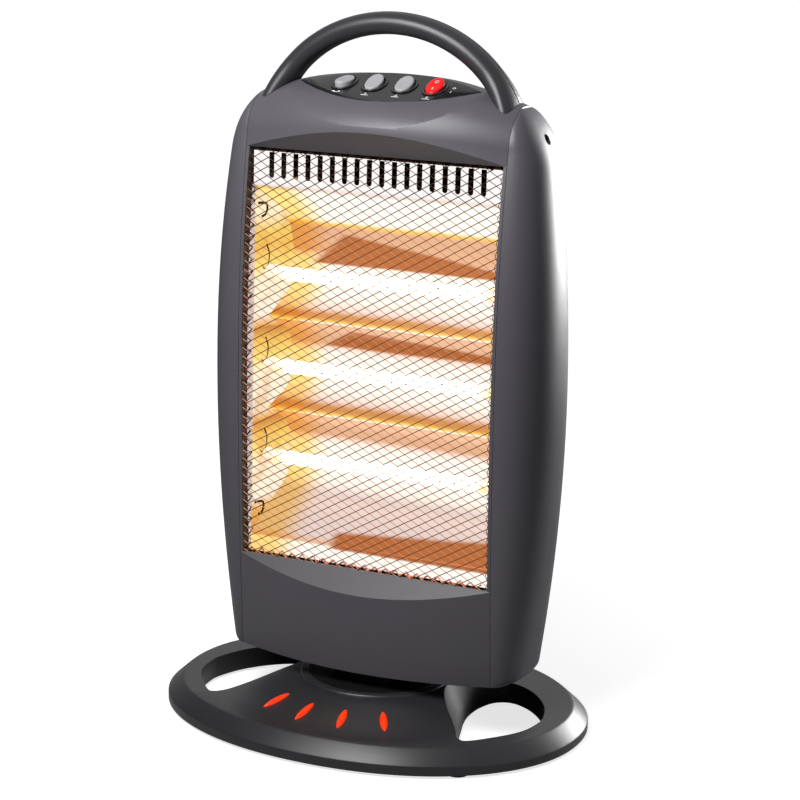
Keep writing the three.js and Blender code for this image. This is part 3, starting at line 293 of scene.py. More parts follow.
def start_finish(name, base, roughness, metallic=0.0, **more):
    """A material with its main shader, its tree and the object's own coordinates."""
    made = bpy.data.materials.new(name)
    made.use_nodes = True
    tree = made.node_tree
    shader = tree.nodes["Principled BSDF"]
    shader.inputs["Base Color"].default_value = linear(base)
    shader.inputs["Roughness"].default_value = roughness
    shader.inputs["Metallic"].default_value = metallic
    for key, value in more.items():
        shader.inputs[key.replace("_", " ")].default_value = value
    place = tree.nodes.new("ShaderNodeTexCoord").outputs["Object"]
    return made, tree, shader, place


def roughen(tree, shader, vector, scale, depth):
    """Feeds the shader's normal with a bump of noise."""
    grain = node(tree, "ShaderNodeTexNoise", {"Vector": vector, "Scale": scale, "Detail": 2.0})
    bump = node(
        tree,
        "ShaderNodeBump",
        {"Height": grain.outputs["Fac"], "Strength": depth, "Distance": 0.05 * MM},
    )
    tree.links.new(bump.outputs["Normal"], shader.inputs["Normal"])


# %% [markdown]
# **ABS, spark-eroded mould.** The head, the base and the handle are injection-moulded ABS. The mould is
# etched, which leaves a grain of tiny pits about half a millimetre across. It spreads the highlights
# softly and makes the dark plastic look grey where light grazes it.


# %% Moulded plastics
def moulded(name, base, roughness, grain_mm=0.55, depth=0.12, shade=0.1):
    """Moulded plastic: a fine grain in the bump, and slow, faint changes of roughness and colour."""
    made, tree, shader, place = start_finish(name, base, roughness, Specular_IOR_Level=0.35)
    roughen(tree, shader, place, 1 / (2 * grain_mm * MM), depth)
    cloud = node(tree, "ShaderNodeTexNoise", {"Vector": place, "Scale": 14.0, "Detail": 3.0}).outputs["Fac"]
    spread = node(
        tree,
        "ShaderNodeMapRange",
        {"Value": cloud, "To Min": roughness - 0.04, "To Max": roughness + 0.05},
    )
    tree.links.new(spread.outputs["Result"], shader.inputs["Roughness"])
    colour = np.array(linear(base))
    dark, pale = colour * (1 - shade), colour * (1 + shade)
    tint = node(tree, "ShaderNodeMix", {0: cloud, 6: dark, 7: pale}, data_type="RGBA")
    tree.links.new(tint.outputs[2], shader.inputs["Base Color"])
    return made


charcoal_abs = moulded("charcoal_abs", "#48464b", 0.4)
black_abs = moulded("black_abs", "#28272a", 0.36)
inner_abs = moulded("inner_black_abs", "#161616", 0.6)
gloss_black = moulded("polished_black_abs", "#19191a", 0.14, depth=0.02, shade=0.03)
grey_abs = moulded("grey_button_abs", "#8a8a8d", 0.35, depth=0.04, shade=0.04)
red_abs = moulded("red_button_abs", "#c01414", 0.28, depth=0.04, shade=0.05)
white_print = moulded("white_printing_ink", "#d8d8d8", 0.6, depth=0.02, shade=0.02)
soft_rubber = moulded("black_rubber", "#101010", 0.8, grain_mm=0.8)

# %% [markdown]
# **Metals, glass and ceramic.** The reflector is bright-rolled aluminium sheet. The guard is thin steel
# mesh that heat has browned. The leaf lenses are tinted acrylic, clear enough to look lit from inside.


# %% Metals, lenses and ceramic
def rolled(name, base, roughness, streak_mm=0.6, depth=0.05):
    """Rolled metal: fine streaks along X, from noise that is squeezed across the rolling direction."""
    made, tree, shader, place = start_finish(name, base, roughness, 1.0)
    squeezed = node(tree, "ShaderNodeMapping", {"Vector": place, "Scale": (0.02, 1.0, 1.0)})
    roughen(tree, shader, squeezed.outputs["Vector"], 1 / (streak_mm * MM), depth)
    return made


def tinted_acrylic():
    """Glossy red acrylic with a faint glow that is uneven like the lamp behind it."""
    made, tree, shader, place = start_finish("red_lens_acrylic", "#c42604", 0.25, Specular_IOR_Level=0.3)
    shader.inputs["Emission Color"].default_value = linear("#ff3a08")
    cloud = node(tree, "ShaderNodeTexNoise", {"Vector": place, "Scale": 90.0}).outputs["Fac"]
    glow = node(tree, "ShaderNodeMapRange", {"Value": cloud, "To Min": 0.3, "To Max": 0.95})
    tree.links.new(glow.outputs["Result"], shader.inputs["Emission Strength"])
    return made


zinc_steel = rolled("zinc_plated_steel", "#a3a19c", 0.35)
dark_steel = rolled("blackened_steel", "#2c211b", 0.45)
bare_wire = rolled("browned_steel_wire", "#3b241b", 0.5)
# The guard's low edge takes a paler, orange-brown wire than the other edges.
orange_brown_wire = rolled("orange_brown_steel_wire", "#a8624a", 0.5)
red_lens = tinted_acrylic()
lamp_ceramic = moulded("steatite_ceramic_painted_glow", "#e3c9bb", 0.7, grain_mm=0.9)

# %% [markdown]
# ## The head's form
#
# Seen from the side, the front bows gently forward and rolls over to a low dome; seen from above, it
# bulges towards the middle. Both housings, the handle's feet and the covers meet on this one form, so it
# is written once, as a side outline for every distance from the middle.

# %% The head's form
HOUSING_HALF = 101.0
WALL = 2.4
GAP = 0.3
FLOOR_Z = 42.0
SHOULDER_Z = 426.0
RIDGE_Y, RIDGE_Z = 5.0, 455.0
SPLIT_Y = 24.0
FRONT_MIDDLE_Y = -42.3
WINDOW_HALF = 98.6
WINDOW_LOW, WINDOW_HIGH = 115.0, 416.0
PIVOT_BORE = 11.3
FAR = 400.0


def front_edge(z):
    """Edge of the front beside the window: a parabola about its foremost point, steeper above it."""
    away = np.asarray(z, float) - 290.0
    return -34.5 + np.where(away < 0, 1.95e-4, 5.3e-4) * away**2


def rear_edge(z):
    """Edge of the rear: a flat parabola."""
    return 54.0 - 2e-4 * (np.asarray(z, float) - 150.0) ** 2


def head_section(share, grow, fine):
    """Side outline at a share of the half width: front and rear lines, joined by two quarter ellipses.
    The middle of the front is straight, and the crown and the dome fade towards the sides."""
    middle = 1 - share**2

    def front(z):
        return front_edge(z) + (FRONT_MIDDLE_Y - front_edge(z)) * middle - grow

    def rear(z):
        return rear_edge(z) + 6.0 * middle + grow

    shoulder = SHOULDER_Z + 6.0 * middle
    top = RIDGE_Z + 18.0 * middle + grow
    up = np.linspace(FLOOR_Z - grow, shoulder, 12 * fine)
    down = up[::-1][:: max(1, fine // 2)]
    t = np.linspace(0, math.pi / 2, 9 * fine)
    y = [
        front(up),
        RIDGE_Y + (front(shoulder) - RIDGE_Y) * np.cos(t[1:]),
        RIDGE_Y + (rear(shoulder) - RIDGE_Y) * np.cos(t[::-1][1:]),
        rear(down[1:]),
    ]
    rise = top - shoulder
    z = [up, shoulder + rise * np.sin(t[1:]), shoulder + rise * np.sin(t[::-1][1:]), down[1:]]
    if down[-1] != up[0]:
        y.append([rear(up[0])])
        z.append([up[0]])
    return np.concatenate(y), np.concatenate(z)


def head_block(half, grow, fine=4):
    """The sections side by side from left to right."""
    rings = []
    for share in np.linspace(-1, 1, 16 * fine + 1):
        y, z = head_section(abs(share), grow, fine)
        rings.append(np.stack([np.full_like(y, share * half), y, z], -1))
    return skin(rings)


DECK = (0.0, -2.0, 463.0)
DECK_TILT = math.radians(19.8)
PANEL_HALF = 71.0
PANEL_FRONT = 26.6
PANEL_REAR = 22.3


def tilted(points, angle):
    """Points turned about the X axis."""
    return points @ np.array(Matrix.Rotation(angle, 3, "X")).T


def on_deck(part):
    """Places a part from the deck's frame, Z off the deck, in the heater's: turned about X and shifted."""
    points, faces = part
    return tilted(points, DECK_TILT) + DECK, faces


def window_recess(back):
    """All that lies in front of the window's bowed plane and of its two slanting ledges."""
    corner = 0.395 * back
    z = np.linspace(WINDOW_LOW - corner, WINDOW_HIGH + corner, 40)
    y = front_edge(z) + back
    outline = np.stack([y, z], -1).tolist()
    run = 40.0
    outline += [[y[-1] - run, z[-1] + 1.07 * run], [y[0] - run, z[0] - 1.07 * run]]
    return pushed(outline, -FAR, FAR, 0)


def above_deck(sink):
    return on_deck(block(-FAR, FAR, -FAR, FAR, -sink, FAR))


def scoop(back, count=65):
    """All in front of straight lines that leave the panel's front edge downwards: 49 degrees steep in
    the middle, easing as a parabola to 14 degrees at the panel's tips."""
    rings = []
    length = 70.0
    for side in np.linspace(-1, 1, count):
        middle = 1 - side**2
        angle = math.radians(14 + 35 * middle)
        run = PANEL_FRONT * middle + 1
        y = DECK[1] - run * math.cos(DECK_TILT) + back
        z = DECK[2] - run * math.sin(DECK_TILT)
        far_y, far_z = y - length * math.cos(angle), z - length * math.sin(angle)
        x = side * (PANEL_HALF + 1.3)
        high, front = z + length, y - 2 * length
        rings.append([(x, far_y, far_z), (x, y, z), (x, y, high), (x, front, high), (x, front, far_z)])
    return skin(rings)


def panel_outline(shrink, count=41):
    """The panel's lens shape: two parabolas that meet at the tips."""
    half = PANEL_HALF - 2 * shrink
    u = np.linspace(-half, half, count)
    bow = 1 - (u / half) ** 2
    front = np.stack([u, -(PANEL_FRONT - shrink) * bow], -1)
    rear = np.stack([u, (PANEL_REAR - shrink) * bow], -1)[::-1][1:-1]
    return np.concatenate([front, rear])


# %% [markdown]
# ## Housings
#
# The front housing is one moulding with a big window, slanting ledges above and below it, a scooped
# brow and a pocket for the switch panel. The rear one has rows of air slots.

# %% Housings
head_shell = carve(
    blank(head_block(HOUSING_HALF, 0)),
    ("DIFFERENCE", window_recess(0)),
    ("DIFFERENCE", above_deck(0)),
    ("DIFFERENCE", scoop(0)),
)
hollow = carve(
    blank(head_block(HOUSING_HALF - WALL, -WALL, 1)),
    ("DIFFERENCE", window_recess(WALL)),
    ("DIFFERENCE", above_deck(2 * WALL)),
    ("DIFFERENCE", scoop(WALL, 17)),
)
carve(head_shell, ("DIFFERENCE", hollow))


def copied(made):
    twin = made.copy()
    twin.data = made.data.copy()
    bpy.context.scene.collection.objects.link(twin)
    return twin


front = carve(
    copied(head_shell),
    ("INTERSECT", block(-FAR, FAR, -FAR, SPLIT_Y, 0, 2 * FAR)),
    ("DIFFERENCE", block(-WINDOW_HALF, WINDOW_HALF, -FAR, 0, WINDOW_LOW, WINDOW_HIGH)),
    ("DIFFERENCE", on_deck(pushed(panel_outline(0), -2.2, 40, 2))),
    ("DIFFERENCE", rod((0, 0, 30), (0, 0, 60), PIVOT_BORE, 48)),
)
finished(front, "front_shell", charcoal_abs, "head", ["front_housing"], edge=0.5)

slot_rows = [130, 160, 190, 220, 300, 330, 360, 390]
slots = join(*[block(x - 27, x + 27, 41, FAR, z - 2.2, z + 2.2) for x in (-60, 0, 60) for z in slot_rows])
screws = [(x, z) for x in (-62, 62) for z in (72, 430)]
cups = join(*[rod((x, SPLIT_Y + GAP, z), (x, 59, z), 5.9) for x, z in screws])
wells = join(*[rod((x, SPLIT_Y + GAP + WALL, z), (x, 80, z), 3.8) for x, z in screws])
rear = carve(
    head_shell,
    ("INTERSECT", block(-FAR, FAR, SPLIT_Y + GAP, FAR, 0, 2 * FAR)),
    ("DIFFERENCE", slots),
)
cup_blank = carve(blank(cups), ("INTERSECT", blank(head_block(HOUSING_HALF, -0.2, 1))))
carve(rear, ("UNION", cup_blank), ("DIFFERENCE", wells))
finished(rear, "rear_shell", charcoal_abs, "head", ["rear_housing"], edge=0.4)

# %% [markdown]
# ## Side covers
#
# Two barrel-shaped covers clip on at the sides. From above, each is half of a squarish oval; from the
# front, it swells to its widest at half height and rolls in at the top.


# %% Side covers
COVER_INNER = HOUSING_HALF - 20
COVER_TOP = 454.0
COVER_SCREW = (6, 433)  # Y and Z of the sunk screw


def cover_bulge(z):
    """How far the cover stands out: a parabola about z 252, times a rounded shoulder above z 415 and
    less a small quarter circle at the foot."""
    z = np.asarray(z, float)
    barrel = 32.5 - 3.9e-4 * (z - 252.0) ** 2
    rise = np.clip((z - 415.0) / 39.0, 0, 1)
    foot = np.clip((z - FLOOR_Z) / 5.0, 0, 1)
    return barrel * (1 - rise**2) ** 0.8 - 5.0 * (1 - np.sqrt(1 - (1 - foot) ** 2))


def cover_block(inner, grow, rows=24, around=61):
    """Rings from the foot to the top, each half a superellipse between the head's front and rear lines."""
    z = np.concatenate(
        [
            FLOOR_Z + 5 * (1 - np.cos(np.linspace(0, math.pi / 2, 8))),
            np.linspace(47, 415, rows)[1:],
            415 + 38.6 * np.sin(np.linspace(0, math.pi / 2, rows)[1:]),
        ]
    )
    rise = np.clip((z - SHOULDER_Z) / (RIDGE_Z - SHOULDER_Z), 0, 1)
    share = np.sqrt(1 - rise**2)
    low = np.minimum(z, SHOULDER_Z)
    front = np.where(z > SHOULDER_Z, RIDGE_Y + (front_edge(low) - RIDGE_Y) * share, front_edge(z))
    rear = np.where(z > SHOULDER_Z, RIDGE_Y + (rear_edge(low) - RIDGE_Y) * share, rear_edge(z))
    centre, deep = (front + rear) / 2, (rear - front) / 2 + grow
    out = np.maximum(cover_bulge(z) + grow, 0.2)
    t = np.linspace(-math.pi / 2, math.pi / 2, around)
    c, s = np.maximum(np.cos(t), 0), np.sin(t)
    x = HOUSING_HALF + out[:, None] * c ** (2 / 2.3)
    y = centre[:, None] + deep[:, None] * np.sign(s) * np.abs(s) ** (2 / 2.3)
    x = np.concatenate([x, np.full((len(z), 2), inner)], 1)
    y = np.concatenate([y, y[:, -1:], y[:, :1]], 1)
    middle = (FLOOR_Z + COVER_TOP) / 2
    stretch = (COVER_TOP - FLOOR_Z + 2 * grow) / (COVER_TOP - FLOOR_Z)
    tall = np.broadcast_to((middle + (z - middle) * stretch)[:, None], x.shape)
    return skin(np.stack([x, y, tall], -1))


screw_boss = carve(
    blank(rod((103.6, *COVER_SCREW), (140, *COVER_SCREW), 6.2, 48)),
    ("INTERSECT", cover_block(COVER_INNER, -0.1)),
)
right_cover = carve(
    blank(cover_block(COVER_INNER, 0)),
    ("INTERSECT", block(HOUSING_HALF + GAP, FAR, -FAR, FAR, 0, 2 * FAR)),
    ("DIFFERENCE", cover_block(COVER_INNER, -WALL, 10, 25)),
    ("UNION", screw_boss),
    ("DIFFERENCE", rod((106, *COVER_SCREW), (150, *COVER_SCREW), 3.8, 48)),
    ("DIFFERENCE", rod((90, *COVER_SCREW), (110, *COVER_SCREW), 2.3, 24)),
)
right_points = np.array([v.co for v in right_cover.data.vertices]) / MM
right_faces = [list(p.vertices) for p in right_cover.data.polygons]
left_cover = blank(mirror_x((right_points, right_faces)))
for made, side in ((right_cover, "right"), (left_cover, "left")):
    finished(made, side + "_cover", charcoal_abs, "head", [side + "_side_cover"], edge=0.5)

# %% [markdown]
# ## Handle
#
# The carry handle is an arch of two mouldings, front and rear, that meet in a fine seam. Its section is
# a rounded oblong carried along an ellipse, and it broadens at its feet.

# %% Handle
HANDLE_Y, HANDLE_Z = 2.0, 420
ARCH_HALF, ARCH_HIGH = 97.2, 86.6
FOOT_ANGLE = math.radians(14)
FLARE_ANGLE = math.radians(42)


def handle_half(side):
    """One half of the bar. side is -1 for the front. Each ring is half a superellipse in the plane
    square to the arch, closed by a straight line along the seam, whose two edges are eased."""
    rings = []
    for angle in np.linspace(FOOT_ANGLE, math.pi - FOOT_ANGLE, 97):
        foot = min(angle, math.pi - angle)
        t = np.clip((foot - FOOT_ANGLE) / (FLARE_ANGLE - FOOT_ANGLE), 0, 1)
        wide = 11.0 + 8.0 * (1 - t * t * (3 - 2 * t))
        c, s = math.cos(angle), math.sin(angle)
        centre = np.array([ARCH_HALF * c, HANDLE_Y, HANDLE_Z + ARCH_HIGH * s])
        out = np.array([c / ARCH_HALF, 0, s / ARCH_HIGH])
        out /= np.linalg.norm(out)
        a = np.linspace(0, math.pi, 25)
        c, s = np.cos(a), np.sin(a)
        deep = 7.95 * np.sign(c) * np.abs(c) ** (2 / 2.2)
        away = np.maximum(wide * s ** (2 / 2.2), 0.7)
        deep = np.concatenate([[7.4], deep, [-7.4]])
        away = side * np.concatenate([[0.15], away, [0.15]])
        rings.append(centre + deep[:, None] * out + away[:, None] * np.array([0, 1.0, 0]))
    return skin(rings)


for side, name, stood in ((-1, "handle_front_half", "handle_front"), (1, "handle_rear_half", "handle_rear")):
    half = carve(
        blank(handle_half(side)),
        ("DIFFERENCE", head_block(HOUSING_HALF + 0.01, GAP, 2)),
        ("DIFFERENCE", cover_block(COVER_INNER, GAP, 12, 31)),
        ("DIFFERENCE", mirror_x(cover_block(COVER_INNER, GAP, 12, 31))),
    )
    finished(half, name, black_abs, "head", [stood], edge=0.3)

# %% [markdown]
# ## Switch panel
#
# A glossy lens-shaped panel lies in the pocket on the slanting deck. Four rocker switches clip into it:
# a grey one for the swing, two grey ones and a red one for the lamps.

# %% Panel and switches
SWITCH_X = [-35.25, -11.75, 11.75, 35.25]
ROCKER_TILT = math.radians(9)
SWITCH_NAMES = ["oscillation", "power_1", "power_2", "power_3"]


def rows_of_ovals(rows, power=2.2, count=64):
    """Ovals one above another, from rows of (half x, half y, z)."""
    return [np.column_stack([oval(a, b, power, count), np.full(count, z)]) for a, b, z in rows]


def shifted(part, x, y, z):
    points, faces = part
    return points + [x, y, z], faces


panel_rows = [(0.3, -1.9), (0.3, 0.0), (0.7, 0.3)]
panel = blank(on_deck(skin([np.column_stack([panel_outline(s), np.full(80, z)]) for s, z in panel_rows])))
hole = skin(rows_of_ovals([(8.2, 11.3, -9), (8.2, 11.3, 9)]))
carve(panel, ("DIFFERENCE", join(*[on_deck(shifted(hole, x, 0, 0)) for x in SWITCH_X])))
finished(panel, "switch_panel", gloss_black, "head", ["control_panel"], edge=0.15)

# Bezel: rows of half width, half length and height, up the outside and down into the well.
SWITCH_ROWS = [
    (7.9, 11.0, -16.0),
    (7.9, 11.0, 0.6),
    (9.0, 12.2, 0.6),
    (9.0, 12.2, 1.0),
    (8.8, 12.0, 1.3),
    (7.5, 10.9, 1.4),
    (7.1, 10.5, 1.2),
    (6.85, 10.3, 0.6),
    (6.85, 10.3, -6.0),
]


def rocker(tilt):
    """A rocker: its sides stand up, its rim is rounded and its top dips lengthways as a shallow
    parabola. It is tilted about its own X axis."""
    shares = [0.84, 0.97, 1.0, 1.0, 0.985, 0.94, 0.86, 0.74, 0.6, 0.44, 0.28, 0.12]
    heights = [-3.0, -2.2, -1.0, 1.9, 2.5, 2.95, 3.15, 3.2, 3.2, 3.2, 3.2, 3.2]
    rings = []
    for share, height in zip(shares, heights):
        ring = np.column_stack([oval(6.25 * share, 9.5 * share, 2.2, 64), np.full(64, height)])
        if height > 1:
            ring[:, 2] += 0.007 * ring[:, 1] ** 2
        rings.append(ring)
    points, faces = skin(rings)
    return tilted(points, tilt), faces


for i, (x, name) in enumerate(zip(SWITCH_X, SWITCH_NAMES)):
    body = blank(on_deck(shifted(skin(rows_of_ovals(SWITCH_ROWS)), x, 0, 0)))
    finished(body, name + "_bezel", gloss_black, "head", [name + "_switch"])
    tilt = -ROCKER_TILT if i == 0 else ROCKER_TILT
    key = blank(on_deck(shifted(rocker(tilt), x, 0, 0)))
    finish, slot = (red_abs, "red_plastic") if i == 3 else (grey_abs, "grey_plastic")
    finished(key, name + "_key", finish, name + "_rocker", [name + "_rocker"], smooth=60)

# %% [markdown]
# Plain marks are printed on the panel and on the red key: a numeral for each lamp, a curved arrow for
# the swing, and a bar and a ring for on and off.


# %% Printed marks
DIGITS = {
    1: [(-0.5, 0.5), (0, 1), (0, -1)],
    2: [(-0.6, 0.5), (-0.2, 1), (0.4, 0.9), (0.6, 0.4), (-0.6, -1), (0.6, -1)],
    3: [(-0.6, 1), (0.6, 1), (0, 0.2), (0.6, -0.3), (0.3, -0.9), (-0.6, -0.9)],
}


def stroke(points, height, half=0.22):
    """A flat ribbon that stands 0.15 mm high along a line, made of one small block for each stretch."""
    p = np.asarray(points, float)
    parts = []
    for a, b in zip(p[:-1], p[1:]):
        along = (b - a) / np.linalg.norm(b - a)
        side = np.array([-along[1], along[0]]) * half
        a, b = a - along * half, b + along * half
        parts.append(pushed([a - side, b - side, b + side, a + side], height, height + 0.15, 2))
    return join(*parts)


def ring_line(radius, start=0.0, end=2 * math.pi, count=17):
    t = np.linspace(start, end, count)
    return np.stack([radius * np.cos(t), radius * np.sin(t)], -1)


PRINT_Z = 0.3  # on the panel's top
KEY_PRINT_Z = 3.28  # on the red key's top
marks = []
for number, x in zip((1, 2, 3), SWITCH_X[1:]):
    marks.append(shifted(stroke(np.array(DIGITS[number]) * 1.1, PRINT_Z), x, -15.4, 0))
    marks.append(shifted(stroke([(-2.6, -2.2), (2.6, -2.2)], PRINT_Z), x, -15.4, 0))
swing = ring_line(3.2, math.radians(210), math.radians(330), 9)
marks.append(shifted(stroke(swing, PRINT_Z), SWITCH_X[0], -12.6, 0))
for end, side in ((swing[:1], 1), (swing[-1:], -1)):
    barbs = end + [(side * 1.3, 0.3), (0, 0), (side * 0.1, -1.3)]
    marks.append(shifted(stroke(barbs, PRINT_Z), SWITCH_X[0], -12.6, 0))
marks.append(shifted(stroke([(0, -1), (0, 1)], PRINT_Z), 48.5, -3.5, 0))
marks.append(shifted(stroke(ring_line(1.0), PRINT_Z), 48.5, 2.5, 0))
finished(blank(on_deck(join(*marks))), "panel_marks", white_print, "head", smooth=60)

on_off = join(
    shifted(stroke([(0, -1.3), (0, 1.3)], KEY_PRINT_Z), 0, -4.2, 0),
    shifted(stroke(ring_line(1.3), KEY_PRINT_Z), 0, 4.2, 0),
)
key_marks = (tilted(on_off[0], ROCKER_TILT), on_off[1])
key_marks = on_deck(shifted(key_marks, SWITCH_X[3], 0, 0))
finished(blank(key_marks), "key_marks", white_print, "power_3_rocker", smooth=60)

# %% [markdown]
# ## Base
#
# The base is a wide oval plate with a bevelled rim and two openings, bridged by a low dome that carries
# the swivel. Four leaf-shaped lenses fan out on the bridge.

# %% Base
RIM_X, RIM_Y = 161.0, 125.5
RIM_POWER = 2.1
HUB_RADIUS = 56.0
BRIDGE_END = 112.0
BRIDGE_HIGH, BRIDGE_LOW = 29.4, 18.6
# Plan of the right opening: the share of the way from the hub to the rim's side, and the share of the
# way from the middle to the rim's rear. Its inner wall leans, so that side has a low and a high line.
OPENING_RIM = [
    (0.419, 0.406), (0.552, 0.311), (0.667, 0.175), (0.733, 0.032),
    (0.752, -0.08), (0.714, -0.255), (0.59, -0.422),
]
OPENING_LOW = [
    (0.419, -0.558), (0.333, -0.422), (0.257, -0.271), (0.2, -0.127), (0.152, 0.0),
    (0.124, 0.127), (0.129, 0.271), (0.181, 0.398), (0.286, 0.446),
]
OPENING_HIGH = [
    (0.419, -0.558), (0.271, -0.406), (0.133, -0.263), (0.048, -0.12), (0.01, 0.0),
    (0.014, 0.127), (0.048, 0.255), (0.133, 0.39), (0.267, 0.446),
]
BRIDGE_EDGE = [
    (0.267, 1.116), (0.267, -0.303), (0.419, -0.558), (0.533, -0.645), (0.752, -0.741), (0.752, -1.116),
]


def in_plan(shares):
    """Points of the base's plan from their shares."""
    shares = np.asarray(shares)
    return np.stack([HUB_RADIUS + (RIM_X - HUB_RADIUS) * shares[:, 0], RIM_Y * shares[:, 1]], -1)


def bridge_top(distance):
    """Height of the bridge: a smooth step from 29.4 at the hub down to 18.6 at 112 from the axis."""
    t = np.clip((np.asarray(distance, float) - HUB_RADIUS) / (BRIDGE_END - HUB_RADIUS), 0, 1)
    return BRIDGE_HIGH + (BRIDGE_LOW - BRIDGE_HIGH) * t * t * (3 - 2 * t)


def rim_form(shrink, bottom, raised, top, count):
    """The oval with its bevelled edge. Each row is an oval inset by some millimetres, and the rows near
    the two arrises follow small arcs, so the arrises are rounded."""
    rows = [(0, bottom), (0, 7.3), (0.2, 7.9), (0.7, 8.5), (10.2, 17.1), (11.0, 17.7), (12.0, 18.0)]
    rings = []
    for inset, z in rows:
        lift = raised if z > 7 else 0
        ring = oval(RIM_X - shrink - inset, RIM_Y - shrink - inset, RIM_POWER, count)
        rings.append(np.column_stack([ring, np.full(count, z + lift - (shrink if z > 9 else 0))]))
    ring = rings[-1].copy()
    ring[:, 2] = max(top, ring[0, 2] + 0.01)
    rings.append(ring)
    return skin(rings)


def dome(shrink, bottom, count):
    """Circles whose heights follow bridge_top, on a wide cylinder."""
    distances = np.concatenate([[RIM_X, RIM_X], np.linspace(BRIDGE_END, HUB_RADIUS, 25)])
    heights = np.concatenate([[bottom], bridge_top(distances[1:]) - shrink])
    return stacked(zip(distances, heights), count)


def catmull_rom(a, b, c, d, f):
    """The cubic from b to c, at the share f of the way. Its slopes are half the chords."""
    return b + 0.5 * f * (c - a + f * (2 * a - 5 * b + 4 * c - d + f * (3 * (b - c) + d - a)))


def smooth_loop(points, grow, count):
    """A closed Catmull-Rom curve: cubic through every point, its slope there being half the chord
    between its neighbours. It is then moved outwards along its normal."""
    p = np.asarray(points, float)
    n = len(p)
    t = np.linspace(0, n, count, endpoint=False)
    i = t.astype(int)
    f = (t - i)[:, None]
    a, b, c, d = p[(i - 1) % n], p[i], p[(i + 1) % n], p[(i + 2) % n]
    curve = catmull_rom(a, b, c, d, f)
    slope = 0.5 * (c - a + 2 * f * (2 * a - 5 * b + 4 * c - d) + 3 * f**2 * (3 * (b - c) + d - a))
    slope /= np.linalg.norm(slope, axis=1)[:, None]
    return curve + grow * np.stack([-slope[:, 1], slope[:, 0]], -1)


def opening(grow, count):
    """What is cut out for the right opening: its inner wall leans, its outer wall is upright."""
    low = smooth_loop(in_plan(OPENING_LOW + OPENING_RIM), grow, count)
    high = smooth_loop(in_plan(OPENING_HIGH + OPENING_RIM), grow, count)
    rows = [(low, -1.0), (low, 2.0), (high, 31.0)]
    return skin([np.column_stack([loop, np.full(count, z)]) for loop, z in rows])


def bridge_plan():
    edge = in_plan(BRIDGE_EDGE)
    return np.concatenate([edge, (edge * [-1, 1])[::-1]])


def base_form(shrink, bottom, count):
    """Rim and bridge as one, with both openings cut."""
    bridge = carve(
        blank(dome(shrink, bottom + 0.5, count)),
        ("INTERSECT", pushed(bridge_plan(), -FAR, FAR, 2)),
        ("INTERSECT", rim_form(shrink + 0.03, bottom - 0.5, 0.7, 60, count + 3)),
    )
    # 7 more points keep the opening's curve off the bridge's corners, where the cuts would leave holes.
    hole = opening(shrink, count + 7)
    return carve(
        blank(rim_form(shrink, bottom, 0, 0, count)),
        ("UNION", bridge),
        ("DIFFERENCE", hole),
        ("DIFFERENCE", mirror_x(hole)),
    )


HUB_ROWS = [(57.4, 20), (57.0, 28.5), (56.4, 30.2), (55.8, 30.8), (55.0, 31.0)]
base_hollow = carve(
    base_form(WALL, 1.0, 64),
    ("INTERSECT", block(-FAR, FAR, -FAR, FAR, 0, 25.7)),
)
base = carve(
    base_form(0, 2.0, 160),
    ("UNION", stacked(HUB_ROWS, 128)),
    ("DIFFERENCE", base_hollow),
    ("DIFFERENCE", rod((0, 0, 28.7), (0, 0, 40), 50.3, 128)),
    ("DIFFERENCE", rod((0, 0, 0), (0, 0, 40), PIVOT_BORE, 64)),
    ("DIFFERENCE", rod((0, 90, 11), (0, 150, 11), 4.8, 32)),
)
finished(base, "base_moulding", black_abs, "base", ["base_shell"], edge=0.25, smooth=30)


def leaf_lens(angle):
    """A leaf that lies on the bridge along a ray from the hub: its width and height fade to both tips
    as powers of one minus the square of the way along."""
    along = np.linspace(-1, 1, 33)
    fade = np.maximum(1 - along**2, 0.004)
    wide, high = 2.8 * fade**0.75, 2.4 * fade**0.55
    t = np.linspace(0, math.pi, 17)
    side = wide[:, None] * np.cos(t)
    radial = np.broadcast_to((87.5 + 11 * along)[:, None], side.shape)
    x = radial * math.sin(angle) + side * math.cos(angle)
    y = -radial * math.cos(angle) + side * math.sin(angle)
    z = bridge_top(radial) + 0.1 + high[:, None] * np.sin(t)
    return skin(np.stack([x, y, z], -1))


for i in range(4):
    leaf = blank(leaf_lens(math.radians((i - 1.5) * 19.7)))
    stood = f"indicator_lens_{i + 1}"
    finished(leaf, f"leaf_lens_{i + 1}", red_lens, "base", [stood], smooth=60)

# %% [markdown]
# ## Painted light
#
# The lamps' glow is painted on the wires and on the mirror as colours by height. These helpers build
# such a ramp, a soft edge along a line, and a slow wavering that keeps the bands from looking ruled.

# %% Painted light
LAMP_Z = [184.0, 253.0, 322.0]


def ramp(tree, value, stops):
    """A colour for every height: stops are pairs of millimetres and a colour."""
    low, high = stops[0][0], stops[-1][0]
    share = node(tree, "ShaderNodeMapRange", {"Value": value, "From Min": low * MM, "From Max": high * MM})
    made = node(tree, "ShaderNodeValToRGB", {"Fac": share.outputs["Result"]})
    elements = made.color_ramp.elements
    while len(elements) < len(stops):
        elements.new(0.5)
    for element, (height, code) in zip(elements, stops):
        element.position = (height - low) / (high - low)
        element.color = linear(code)
    return made.outputs["Color"]


def past(tree, value, other, slope, start, soft):
    """Rises smoothly from 0 to 1 where value passes the line start + slope * other."""
    line = node(tree, "ShaderNodeMath", {0: other, 1: slope, 2: start * MM}, operation="MULTIPLY_ADD")
    over = node(tree, "ShaderNodeMath", {0: value, 1: line.outputs[0]}, operation="SUBTRACT")
    step = {"Value": over.outputs[0], "From Min": -soft * MM, "From Max": soft * MM}
    return node(tree, "ShaderNodeMapRange", step, interpolation_type="SMOOTHSTEP").outputs["Result"]


def times(tree, a, b):
    return node(tree, "ShaderNodeMath", {0: a, 1: b}, operation="MULTIPLY").outputs[0]


